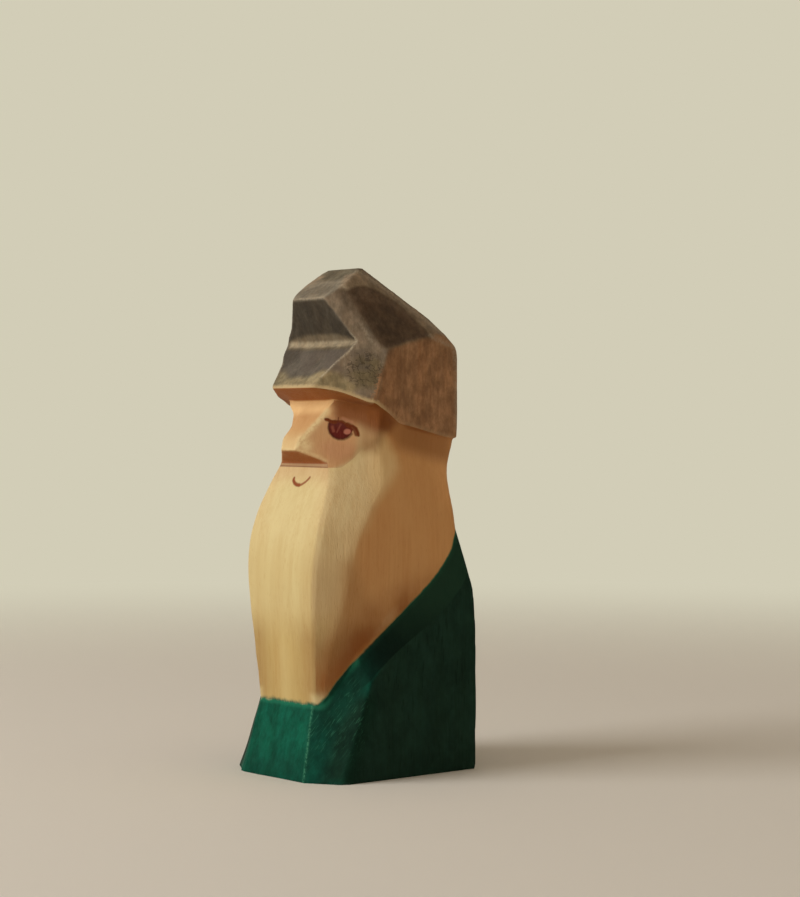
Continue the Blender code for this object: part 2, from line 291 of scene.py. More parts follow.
def place_object(name: str, data: bpy.types.ID) -> Object:
    """Link data to the scene as an object at the origin.

    Args:
        name: The object's name.
        data: Its mesh, light or camera.

    Returns:
        The object.
    """
    obj = bpy.data.objects.new(name, data)
    bpy.context.scene.collection.objects.link(obj)
    return obj


def cut(operation: str, tool: BMesh) -> tuple[str, dict[str, object]]:
    """Return the step of a mesh's working that cuts it with a tool."""
    obj = place_object("tool", into_mesh(tool, "tool"))
    return "BOOLEAN", {"operation": operation, "solver": "MANIFOLD", "object": obj}


def worked(name: str, mesh: Mesh, *steps: tuple[str, dict[str, object]]) -> Mesh:
    """Work a mesh over with modifiers and clear away what they used.

    Args:
        name: The new mesh's name.
        mesh: The mesh.
        steps: The type and the settings of each modifier in turn.

    Returns:
        The new mesh.
    """
    obj = place_object(name, mesh)
    spent = [obj]
    for kind, settings in steps:
        modifier = obj.modifiers.new(kind, kind)
        for key, value in settings.items():
            setattr(modifier, key, value)
        if "object" in settings:
            spent.append(settings["object"])
    depsgraph = bpy.context.evaluated_depsgraph_get()
    result = bpy.data.meshes.new_from_object(obj.evaluated_get(depsgraph))
    result.name = name
    for item in spent:
        bpy.data.objects.remove(item, do_unlink=True)
    return result


def read_values(items: bpy.types.bpy_prop_collection, name: str, width: int,
                kind: type = float) -> np.ndarray:
    """Read a property of all items.

    Args:
        items: The items.
        name: The property.
        width: How many values it has in each item.
        kind: What the values are.

    Returns:
        The values, one row for each item.
    """
    values = np.zeros(len(items) * width, dtype=kind)
    items.foreach_get(name, values)
    return values.reshape(-1, width)


def move_vertices(mesh: Mesh, places: np.ndarray) -> None:
    """Move a mesh's vertices to places in millimetres."""
    mesh.vertices.foreach_set("co", (places * MM).ravel())
    mesh.update()


def write_layer(mesh: Mesh, name: str, values: np.ndarray) -> None:
    """Write an attribute of a mesh's vertices.

    Args:
        mesh: The mesh.
        name: The attribute's name.
        values: A number or a colour for each vertex.
    """
    kind, key = ("FLOAT", "value") if values.ndim == 1 else ("FLOAT_COLOR", "color")
    layer = mesh.attributes.new(name, kind, "POINT")
    layer.data.foreach_set(key, values.astype(np.float32).ravel())


def away_from_path(places: np.ndarray, path: np.ndarray) -> np.ndarray:
    """Return how far places are from a path of straight pieces.

    Args:
        places: The places, in two or three axes.
        path: The path's points, in the same axes.

    Returns:
        The least distance of each place.
    """
    nearest = np.full(len(places), np.inf)
    for start, end in zip(path, path[1:]):
        along = end - start
        share = np.clip(((places - start) @ along) / (along @ along), 0.0, 1.0)
        gap = np.linalg.norm(places - (start + share[:, None] * along), axis=1)
        nearest = np.minimum(nearest, gap)
    return nearest


# Seams

@dataclass(frozen=True)
class Seams:
    """The lines along which the stains meet, as (y, z) points seen from the side.

    The ledge is the outer edge of the collar band, and the grey's end is where
    the grey on the hat's sides gives way to brown. Each line gets some steps
    between its points, and an outline reaches beyond the figure.
    """

    collar: SidePoints = (
        (-11.9, 10.85), (-11.3, 10.8), (-10.85, 10.8), (-10.1, 12.0), (-9.4, 13.45),
        (-7.9, 15.6), (-4.8, 19.05), (-0.1, 23.3), (4.7, 26.9), (7.9, 29.7), (10.3, 32.6),
        (11.2, 34.6), (11.9, 36.2), (13.0, 37.0))
    hat: SidePoints = (
        (-10.1, 57.05), (-8.4, 56.75), (-7.0, 56.3), (-5.6, 55.6), (-4.4, 55.0),
        (-3.2, 54.65), (-1.1, 53.4), (0.3, 52.5), (1.5, 51.8), (3.7, 51.3), (7.9, 50.3),
        (10.3, 49.8), (12.6, 49.5))
    face: SidePoints = (
        (-8.6, 45.35), (-7.0, 45.35), (-6.1, 45.9), (-5.0, 47.1), (-4.0, 49.0),
        (-3.7, 50.4), (-3.6, 51.8), (-3.6, 58.0))
    ledge: SidePoints = (
        (-9.6, 8.0), (-8.6, 10.6), (-7.4, 12.6), (-5.44, 14.9), (-3.94, 16.3), (-1.3, 18.3),
        (2.9, 20.9), (6.8, 23.3), (9.97, 25.8), (12.4, 28.4), (13.4, 31.0), (14.2, 34.0))
    grey_end: SidePoints = (
        (-5.0, 54.0), (-3.6, 56.4), (-2.3, 60.0), (-1.5, 62.6), (-1.4, 70.0))
    steps: int = 4
    beyond: float = 30.0
    heights: tuple[float, float] = (-10.0, 90.0)

    def closed(self, line: SidePoints, height: float) -> list[SidePoint]:
        """Close a line into the outline of all that lies between it and a height."""
        first, last, wide = line[0], line[-1], self.beyond
        return [(-wide, height), (-wide, first[1]), *eased(line, self.steps),
                (wide, last[1]), (wide, height)]

    def in_front(self, line: SidePoints) -> list[SidePoint]:
        """Close a rising line into the outline of all that lies in front of it."""
        return [(-self.beyond, line[0][1]), *eased(line, self.steps),
                (-self.beyond, line[-1][1])]

    def parting(self, zone: Zone) -> list[tuple[str, list[SidePoint]]]:
        """Return the cuts that part a zone from the block.

        Args:
            zone: The zone.

        Returns:
            Pairs of a Boolean operation and a side outline.
        """
        below, above = self.heights
        coat, hat = self.closed(self.collar, below), self.closed(self.hat, above)
        face = self.in_front(self.face)
        plans = {Zone.COAT: [("INTERSECT", coat)],
                 Zone.HAT: [("INTERSECT", hat)],
                 Zone.FACE: [("DIFFERENCE", hat), ("INTERSECT", face)],
                 Zone.BEARD: [("DIFFERENCE", hat), ("DIFFERENCE", coat), ("DIFFERENCE", face)]}
        return plans[zone]

    def distances(self, places: np.ndarray) -> dict[str, np.ndarray]:
        """Measure how far places lie beyond each line.

        Args:
            places: The places in millimetres.

        Returns:
            The distances in millimetres by the line's name: above the collar,
            brim and ledge, and behind the cheek and the grey's end. On a
            line's other side they are negative.
        """
        lines = {"collar": self.collar, "brim": self.hat, "ledge": self.ledge,
                 "cheek": self.face, "grey_end": self.grey_end}
        found = {}
        for name, line in lines.items():
            upright = name in ("cheek", "grey_end")
            path = np.array(eased(line, self.steps))[:, ::-1 if upright else 1]
            side_view = places[:, 2:0:-1] if upright else places[:, 1:]
            gap = away_from_path(side_view, path)
            beyond = side_view[:, 1] >= np.interp(side_view[:, 0], path[:, 0], path[:, 1])
            found[name] = np.where(beyond, gap, -gap)
        return found


# Facets and their tints

@dataclass(frozen=True)
class Facet:
    """A flat of the carving with its own colour: its depth of stain, and where it faces down or
    away from the light, painted shade.

    Places are in millimetres on the figure's left. A facet without a place is
    told by its direction alone.
    """

    outward: Point
    colour: str
    through: Point | None = None

    @classmethod
    def of_profile(cls, low: SidePoint, high: SidePoint, colour: str) -> "Facet":
        """Return the facet that runs straight across between two side points."""
        rise, run = high[1] - low[1], high[0] - low[0]
        return cls((0.0, -rise, run), colour, (0.0, *low))

    @classmethod
    def of_corners(cls, corners: Points, colour: str) -> "Facet":
        """Return the facet through three corners, facing away from the middle."""
        return cls(tuple(facing(corners)), colour, corners[0])


def facet_tints(facets: list[Facet], places: np.ndarray, normals: np.ndarray,
                turn: float = 0.10, offset: float = 0.28, share: float = 0.7,
                furthest: float = 60.0) -> np.ndarray:
    """Return the colour of each place, stain with painted shade, blended softly across the arrises.

    Args:
        facets: The facets of the zone.
        places: The places on the figure's left, in millimetres.
        normals: The surface directions there.
        turn: How far a surface may turn from a facet before its tint fades.
        offset: How far it may lie off the facet, in millimetres.
        share: How much the turn counts where the facet has a place.
        furthest: The score from which a facet counts as far away.

    Returns:
        Linear colours with opacity, one row for each place.
    """
    total, tint = np.zeros((len(places), 1)), np.zeros((len(places), 4))
    for facet in facets:
        way = np.array(facet.outward) / np.linalg.norm(facet.outward)
        score = (1.0 - normals @ way) / turn
        if facet.through is not None:
            score = score * share + np.abs((places - facet.through) @ way) / offset
        weight = np.exp(-np.minimum(score, furthest))[:, None]
        total += weight
        tint += weight * np.array(linear(facet.colour))
    return tint / total


@dataclass(frozen=True)
class Patch:
    """An area coloured otherwise than the facets round it. Some are stain, and some are painted
    light and shade.

    The corners are in millimetres on the figure's left, in turn round the area.
    It fades over its softness at the rim, past its depth from their plane, and
    where the surface has turned away from that plane.
    """

    corners: Points
    colour: str
    softness: float = 0.3
    share: float = 1.0
    depth: float = 1.5
    turned: float = 0.15
    turning: float = 0.25

    def lay(self, tint: np.ndarray, places: np.ndarray, normals: np.ndarray) -> np.ndarray:
        """Lay this area over the stain colours of places.

        Args:
            tint: The colours so far, one row for each place.
            places: The places on the figure's left, in millimetres.
            normals: The surface directions there.

        Returns:
            The colours with this area.
        """
        corners = np.array(self.corners)
        middle = corners.mean(axis=0)
        across, up, outward = np.linalg.svd(corners - middle)[2]
        if outward @ (middle * (1.0, 1.0, 0.0)) < 0:
            outward = -outward
        flat = (places - middle) @ np.stack([across, up], axis=1)
        shape = (corners - middle) @ np.stack([across, up], axis=1)
        shape = np.vstack([shape, shape[:1]])
        inside = np.zeros(len(places), bool)
        for start, end in zip(shape, shape[1:]):
            if start[1] != end[1]:
                between = (start[1] > flat[:, 1]) != (end[1] > flat[:, 1])
                slope = (end[0] - start[0]) / (end[1] - start[1])
                inside ^= between & (flat[:, 0] < start[0] + (flat[:, 1] - start[1]) * slope)
        gap = away_from_path(flat, shape)
        cover = np.clip(np.where(inside, gap, -gap) / (2.0 * self.softness) + 0.5, 0.0, 1.0)
        cover = cover * cover * (3.0 - 2.0 * cover)
        cover *= np.clip((normals @ outward - self.turned) / self.turning, 0.0, 1.0)
        cover *= np.clip(2.0 - np.abs((places - middle) @ outward) / self.depth, 0.0, 1.0)
        cover = (self.share * cover)[:, None]
        return tint * (1.0 - cover) + cover * np.array(linear(self.colour))


@dataclass(frozen=True)
class RubbedLine:
    """An arris on the figure's left that handling has rubbed pale."""

    points: Points
    reach: float = 0.25
    share: float = 1.0

    def rub(self, places: np.ndarray) -> np.ndarray:
        """Return how much each place is rubbed."""
        gap = away_from_path(places, np.array(self.points))
        return self.share * np.exp(-(gap / self.reach) ** 2)


# Painted shade that runs over the seam between the face and the hair: the hair's front darker below
# the hat
HAIR_SHADE = Patch((
    (8.6, -4.5, 52.5), (8.75, -4.63, 50.0), (8.67, -4.94, 48.4), (9.42, -4.05, 47.6),
    (10.51, -2.86, 47.6), (11.0, -2.0, 49.4), (11.3, -1.2, 53.0), (9.5, -3.7, 54.0)),
    "#ac855a", 1.1, 0.9, 2.6)
# Painted shadow cast by the brim on the cheek, temple and neck
PAINTED_BRIM_SHADOW = Patch((
    (5.6, -6.6, 54.6), (5.5, -6.75, 53.3), (5.9, -6.6, 52.3), (6.95, -5.81, 51.95),
    (8.34, -4.67, 51.8), (9.42, -3.85, 51.2), (10.4, -3.0, 50.6), (11.2, -1.5, 50.6),
    (11.4, 0.4, 51.8), (11.2, -1.0, 54.3), (10.4, -4.6, 55.4), (8.0, -6.0, 55.6)),
    "#8b5732", 0.95, 1.0, 2.6)


# Finishes

USUAL = {"MapRange": {"interpolation_type": "SMOOTHSTEP"}, "Math": {"operation": "MULTIPLY"},
         "Mix": {"data_type": "RGBA"}}
READINGS = ("collar", "brim", "ledge", "cheek", "grey_end", "rubbed")


def add_node(tree: Tree, kind: str, *inputs: Socket | float | Point | str | None,
             out: int | str = 0, **settings: str | bool) -> Socket:
    """Add a shader node with its settings, values and links.

    Args:
        tree: The node tree.
        kind: The node's type name, without "ShaderNode".
        inputs: What goes into the inputs in use, in turn: a socket, an sRGB hex
            colour, another value, or None to leave one as it is. Math works out
            more than two from left to right.
        out: Number or name of the output.
        settings: Properties of the node, beside the usual ones of its kind.

    Returns:
        The output.
    """
    if kind == "Math" and len(inputs) > 2:
        inputs = (add_node(tree, kind, *inputs[:-1], **settings), inputs[-1])
    node = tree.nodes.new("ShaderNode" + kind)
    for name, value in {**USUAL.get(kind, {}), **settings}.items():
        setattr(node, name, value)
    for socket, value in zip([socket for socket in node.inputs if socket.enabled], inputs):
        if isinstance(value, Socket):
            tree.links.new(value, socket)
        elif value is not None:
            socket.default_value = linear(value) if isinstance(value, str) else value
    if isinstance(out, str):
        return node.outputs[out]
    return [socket for socket in node.outputs if socket.enabled][out]


@dataclass(frozen=True)
class Spot:
    """A place on a piece, as sockets of its material's node tree.

    The readings are x, y and z in millimetres, how far the surface faces
    sideways and back, how much it is rubbed, and how far it lies beyond each
    of the seams' lines.
    """

    tree: Tree
    place: Socket
    tint: Socket
    readings: dict[str, Socket]

    @classmethod
    def of(cls, tree: Tree) -> "Spot":
        """Set up the place for a material's node tree.

        Args:
            tree: The node tree.

        Returns:
            The place.
        """
        node = partial(add_node, tree)
        place = node("VectorMath", node("TexCoord", out="Object"), 1.0 / MM, operation="SCALE")
        normal = node("SeparateXYZ", node("TexCoord", out="Normal")).node.outputs
        readings = dict(zip("xyz", node("SeparateXYZ", place).node.outputs))
        readings["sideways"] = node("Math", normal["X"], operation="ABSOLUTE")
        readings["back"] = normal["Y"]
        for name in READINGS:
            readings[name] = node("Attribute", out="Fac", attribute_name=name)
        return cls(tree, place, node("Attribute", attribute_name="tint"), readings)

    def where(self, *limits: tuple | Socket | float) -> Socket:
        """Work out how much a layer covers the place.

        Args:
            limits: Each is a share, or an eased step: a reading's name or a
                socket, where the step starts and ends, and its results there
                if they aren't 0 and 1.

        Returns:
            The product of the limits.
        """
        factors = []
        for limit in limits:
            if isinstance(limit, tuple):
                source = self.readings[limit[0]] if isinstance(limit[0], str) else limit[0]
                limit = add_node(self.tree, "MapRange", source, *limit[1:])
            factors.append(limit)
        return factors[0] if len(factors) == 1 else add_node(self.tree, "Math", *factors)


@dataclass(frozen=True)
class Stroke:
    """A thin brush line through points (u, v) in millimetres."""

    points: tuple[tuple[float, float], ...]
    half_width: float
    softness: float = 0.05

    def lay(self, tree: Tree, place: Socket) -> Socket:
        """Work out how much of the line covers a place.

        Args:
            tree: The node tree.
            place: The place (u, v, 0).

        Returns:
            The cover from 0 to 1.
        """
        nearest = 1e3
        for start, end in zip(self.points, self.points[1:]):
            along = Vector((end[0] - start[0], end[1] - start[1], 0.0))
            offset = add_node(tree, "VectorMath", place, (*start, 0.0), operation="SUBTRACT")
            share = add_node(tree, "VectorMath", offset, along / along.length_squared,
                             operation="DOT_PRODUCT")
            share = add_node(tree, "Math", share, 0.0, operation="ADD", use_clamp=True)
            foot = add_node(tree, "VectorMath", along, share, operation="SCALE")
            gap = add_node(tree, "VectorMath", offset, foot, operation="DISTANCE")
            nearest = add_node(tree, "Math", nearest, gap, operation="MINIMUM")
        return add_node(tree, "MapRange", nearest, self.half_width + self.softness,
                        self.half_width - self.softness)


@dataclass(frozen=True)
class Cloud:
    """A soft pattern with a size in millimetres along each axis."""

    size: Point
    detail: float = 2.0
    roughness: float = 0.55
    turn: Point = (0.0, 0.0, 0.0)
    offset: Point = (0.0, 0.0, 0.0)

    def lay(self, spot: Spot, *step: float) -> Socket:
        """Lay the pattern over a place.

        Args:
            spot: The place.
            step: Where an eased step of the pattern starts and ends, and its
                results there if they aren't 0 and 1.

        Returns:
            The step's result, or without a step the pattern's value, which is
            about 0.5 in the middle.
        """
        turned = add_node(spot.tree, "Mapping", spot.place, self.offset,
                          [math.radians(angle) for angle in self.turn], self.size,
                          vector_type="TEXTURE")
        value = add_node(spot.tree, "TexNoise", turned, 1.0, self.detail, self.roughness)
        return spot.where((value, *step)) if step else value


@dataclass(frozen=True)
class MapleGrain:
    """Hard maple, sawn upright and pared: fine straight fibres, faint rings, flecks.

    Real fibres and pores are finer than a pixel of the render, 0.15 mm, so they
    are drawn as coarse as they need to show.
    """

    fibre: Cloud = Cloud((0.5, 0.5, 12.0), 3.0, 0.6)
    hair: Cloud = Cloud((0.16, 0.16, 4.5), 2.0, 0.6, offset=(3.1, 1.7, 0.0))
    ring: Cloud = Cloud((2.6, 4.2, 75.0), 2.0, 0.5, turn=(0.0, 1.5, 24.0))
    fleck: Cloud = Cloud((0.17, 0.17, 1.3), 1.0, 0.5, offset=(7.7, 2.3, 5.0))
    figure: Cloud = Cloud((3.5, 3.5, 11.0), 2.0, 0.5, offset=(1.3, 8.0, 3.0))
    warm: str = "#d9b48c"
    lift: Point = (1.055, 1.10, 1.14)

    def lay(self, spot: Spot, tint: Socket, depth: float = 1.0) -> tuple[Socket, Socket]:
        """Put grain into a colour and leave its mean as it is.

        Args:
            spot: The place.
            tint: The wood's colour without grain.
            depth: How strongly the grain shows.

        Returns:
            The colour with grain, and the relief of the grain from 0 to 1.
        """
        node = partial(add_node, spot.tree)
        figure = self.figure.lay(spot, 0.38, 0.62, 0.35, 1.0)
        fibre, hair = self.fibre.lay(spot, 0.36, 0.68), self.hair.lay(spot, 0.38, 0.66)
        ring, fleck = self.ring.lay(spot, 0.40, 0.62), self.fleck.lay(spot, 0.64, 0.74)
        fine = node("Math", node("Math", fibre, 0.16 * depth), node("Math", hair, 0.10 * depth),
                    operation="ADD")
        dark = node("Math", node("Math", fine, figure), node("Math", ring, 0.18 * depth),
                    node("Math", fleck, 0.22 * depth), operation="ADD")
        lift = tuple(1.0 + (value - 1.0) * depth for value in self.lift)
        lifted = node("VectorMath", tint, lift, operation="MULTIPLY")
        relief = node("Math", node("Math", fibre, -0.5), node("Math", hair, -0.3),
                      node("Math", fleck, -0.4), 1.0, operation="ADD")
        return node("Mix", dark, lifted, self.warm, blend_type="MULTIPLY"), relief


@dataclass(frozen=True)
class WoodFinish:
    """A finish on the maple: what all four share.

    Dry wood scatters light evenly, with a faint sheen where the knife left the
    fibres closed. Open grain is rougher than the rest and closed grain smoother.
    """

    name: str
    roughness: float = 0.62
    gloss: float = 0.12
    relief: float = 0.05
    bump: float = 0.55
    rougher: float = 0.10
    smoother: float = 0.05
    grain: MapleGrain = MapleGrain()

    def material(self) -> bpy.types.Material:
        """Build the material.

        Returns:
            The material.
        """
        paint = bpy.data.materials.new(self.name)
        paint.use_nodes = True
        tree = paint.node_tree
        shader = tree.nodes["Principled BSDF"]
        shader.inputs["Specular IOR Level"].default_value = self.gloss
        spot = Spot.of(tree)
        colour, relief = self.coat(spot)
        sheen = spot.where((relief, 0.2, 1.0, self.roughness + self.rougher,
                            self.roughness - self.smoother))
        bump = add_node(tree, "Bump", self.bump, self.relief * MM, None, relief)
        for name, value in (("Base Color", colour), ("Roughness", sheen), ("Normal", bump)):
            tree.links.new(value, shader.inputs[name])
        return paint

    def coat(self, spot: Spot) -> tuple[Socket, Socket]:
        """Return the finish's colour and relief; each finish has its own."""
        return self.grain.lay(spot, spot.tint)


@dataclass(frozen=True)
class GreenEdge:
    """The wavering upper edge of the green stain, shared by coat and beard."""

    waver: Cloud = Cloud((1.9, 1.9, 1.9), 3.0, 0.62)
    reach: float = 1.5
    softness: float = 0.17

    def lay(self, spot: Spot) -> Socket:
        """Work out how much green stain covers a place near the collar line.

        Args:
            spot: The place.

        Returns:
            The cover from 0 to 1.
        """
        node = partial(add_node, spot.tree)
        waver = node("Math", self.waver.lay(spot), -0.5, operation="ADD")
        height = node("Math", spot.readings["collar"],
                      spot.where(waver, ("back", -0.93, -0.82, self.reach, 0.25 * self.reach)),
                      spot.where(("y", -10.8, -9.6, -0.28, -0.06)),
                      spot.where(("y", -1.0, 4.0, 0.0, -0.16)), operation="ADD")
        covered = spot.where((height, self.softness, -self.softness))
        thinned = spot.where((height, 2.2 * self.softness, -2.6 * self.softness))
        return node("Mix", spot.where(("back", -0.82, -0.93)), covered, thinned,
                    data_type="FLOAT")


@dataclass(frozen=True)
class GreenStain(WoodFinish):
    """Water stain brushed on maple: it pools in clouds and thins on worn edges."""

    edge: GreenEdge = GreenEdge()
    pools: Cloud = Cloud((3.2, 3.2, 4.2), 3.0, 0.55)
    blots: Cloud = Cloud((0.8, 0.8, 1.2), 3.0, 0.6, offset=(5.0, 0.0, 2.0))
    strokes: Cloud = Cloud((0.2, 0.2, 1.6), 3.0, 0.6, turn=(-31.0, 22.0, 0.0))
    drips: Cloud = Cloud((0.5, 0.5, 3.2), 1.5, 0.5, offset=(2.0, 6.0, 1.0))
    wear: Cloud = Cloud((0.3, 0.3, 0.4), 3.0, 0.65, offset=(1.0, 9.0, 0.0))
    # Bare wood above the stain: darker on the sides as painted shade, lighter in front as painted
    # light
    shaded_wood_sides: str = "#8f6339"
    lit_wood_front: str = "#d8c694"
    drip: str = "#0e1f17"
    pale: str = "#4f9b78"
    rim: str = "#27785b"
    # Painted shadow of the beard across the collar band, deeper low down
    band_shadow_low: str = "#0a1a14"
    band_shadow_high: str = "#233f30"

    def coat(self, spot: Spot) -> tuple[Socket, Socket]:
        """Build the finish at a place.

        Args:
            spot: The place.

        Returns:
            Its colour, and its relief from 0 to 1.
        """
        node = partial(add_node, spot.tree)
        colour, relief = self.grain.lay(spot, spot.tint, 0.8)
        light = node("Math", self.pools.lay(spot, 0.36, 0.66, -0.24, 0.22),
                     self.blots.lay(spot, 0.36, 0.66, -0.10, 0.12), operation="ADD")
        light = spot.where(light, ("sideways", 0.9, 0.97, 1.0, 0.6))
        colour = node("VectorMath", colour, node("Math", light, 1.0, operation="ADD"),
                      operation="SCALE")
        drips = spot.where(("sideways", 0.85, 0.95, 0.0, 0.45), self.drips.lay(spot, 0.62, 0.72))
        # Painted shadow of the beard over the collar band
        band = spot.where(("ledge", -0.10, 0.12), ("y", -9.2, -4.0), ("back", 0.5, 0.2))
        shade = node("Mix", spot.where(("brim", -34.0, -22.0)), self.band_shadow_low, self.band_shadow_high)
        scratch = spot.where(
            ("sideways", 0.3, 0.48), ("y", -5.5, -8.5), self.strokes.lay(spot, 0.52, 0.72),
            ("collar", -9.0, -1.5, 0.04, 0.30), ("collar", -0.4, -1.8), (band, 1.0, 0.0, 0.3, 1.0))
        rim = spot.where(("collar", -0.8, -0.1), ("back", -0.6, -0.85, 0.08, 0.6))
        worn = spot.where(spot.readings["rubbed"], self.wear.lay(spot, 0.38, 0.62, 0.1, 1.0))
        for share, paint in ((drips, self.drip), (spot.where(band, 0.85), shade),
                             (scratch, self.pale), (rim, self.rim), (worn, self.pale)):
            colour = node("Mix", share, colour, paint)
        # Bare wood, painted darker on the sides and lighter in front as painted shade and light
        bare = node("Mix", spot.where(("back", -0.82, -0.93)), self.shaded_wood_sides, self.lit_wood_front)
        wood, _ = self.grain.lay(spot, bare)
        return node("Mix", self.edge.lay(spot), wood, colour), relief


@dataclass(frozen=True)
class BareMaple(WoodFinish):
    """Pared maple left bare, waxed by hands: cream, with redder painted shade low down above the
    collar.
    """

    edge: GreenEdge = GreenEdge()
    green: str = "#145a45"
    lip: str = "#d0ae7f"
    # Redder painted shade low on the beard's sides above the collar, spread in clouds
    low_shade: str = "#945a2b"
    low_shade_cloud: Cloud = Cloud((3.0, 3.0, 5.0), 2.0, 0.5)
    # Orange painted shade in the crease just above the collar
    thin: str = "#b07f36"
    shade: str = "#875026"
    mouth: Stroke = Stroke((
        (-1.38, 43.72), (-1.46, 43.46), (-1.10, 43.14), (-0.66, 42.86), (-0.10, 42.70),
        (0.58, 42.68), (1.12, 42.88), (1.70, 43.20), (2.14, 43.58), (2.36, 43.84)), 0.20, 0.12)
    mouth_corner: Stroke = Stroke(((-1.40, 43.60), (-1.34, 43.36), (-0.90, 43.00),
                                   (-0.30, 42.78), (0.40, 42.72)), 0.27, 0.14)
    # Painted shadow line along the valley under the nose, where the beard meets the face
    seam: Stroke = Stroke(((-5.6, 45.42), (0.0, 45.38), (6.6, 45.32)), 0.06, 0.06)
    ink: str = "#8a3f18"

    def coat(self, spot: Spot) -> tuple[Socket, Socket]:
        """Build the finish at a place.

        Args:
            spot: The place.

        Returns:
            Its colour, and its relief from 0 to 1.
        """
        node = partial(add_node, spot.tree)
        frontal = spot.where(("back", -0.72, -0.9))
        # Redder painted shade low on the sides, above the collar
        low = spot.where(
            ("collar", 6.5, 0.3, 0.0, 0.9), (frontal, 0.0, 1.0, 1.0, 0.06), ("z", 33.0, 24.0),
            ("z", 11.6, 14.5), self.low_shade_cloud.lay(spot, 0.3, 0.7, 0.6, 1.0))
        under = spot.where(("brim", -5.0, -2.2, 0.0, 0.62), ("y", -1.5, 2.6),
                           ("y", 12.5, 10.0, 0.45, 1.0))
        eaves = spot.where(("brim", -3.0, -1.4, 0.0, 0.95), ("y", 2.0, -2.0))
        lip = spot.where(("z", 42.0, 45.2, 0.0, 0.8), ("z", 48.0, 46.5), frontal)
        colour = spot.tint
        for share, paint in ((low, self.low_shade), (under, self.shade), (eaves, self.shade),
                             (lip, self.lip)):
            colour = node("Mix", share, colour, paint)
        colour, relief = self.grain.lay(spot, colour, 0.8)
        # Orange painted shade in the crease just above the collar, on the sides
        line = spot.where(("collar", 0.42, 0.08, 0.0, 0.3), (frontal, 1.0, 0.0))
        colour = node("Mix", line, colour, self.thin)
        flat = node("CombineXYZ", spot.readings["x"], spot.readings["z"])
        # The mouth in ink, and the same ink as a painted shadow line along the valley under the
        # nose
        for stroke, share in ((self.mouth, 0.85), (self.mouth_corner, 0.8), (self.seam, 0.5)):
            drawn = spot.where(stroke.lay(spot.tree, flat), frontal, share)
            colour = node("Mix", drawn, colour, self.ink)
        return node("Mix", self.edge.lay(spot), colour, self.green), relief


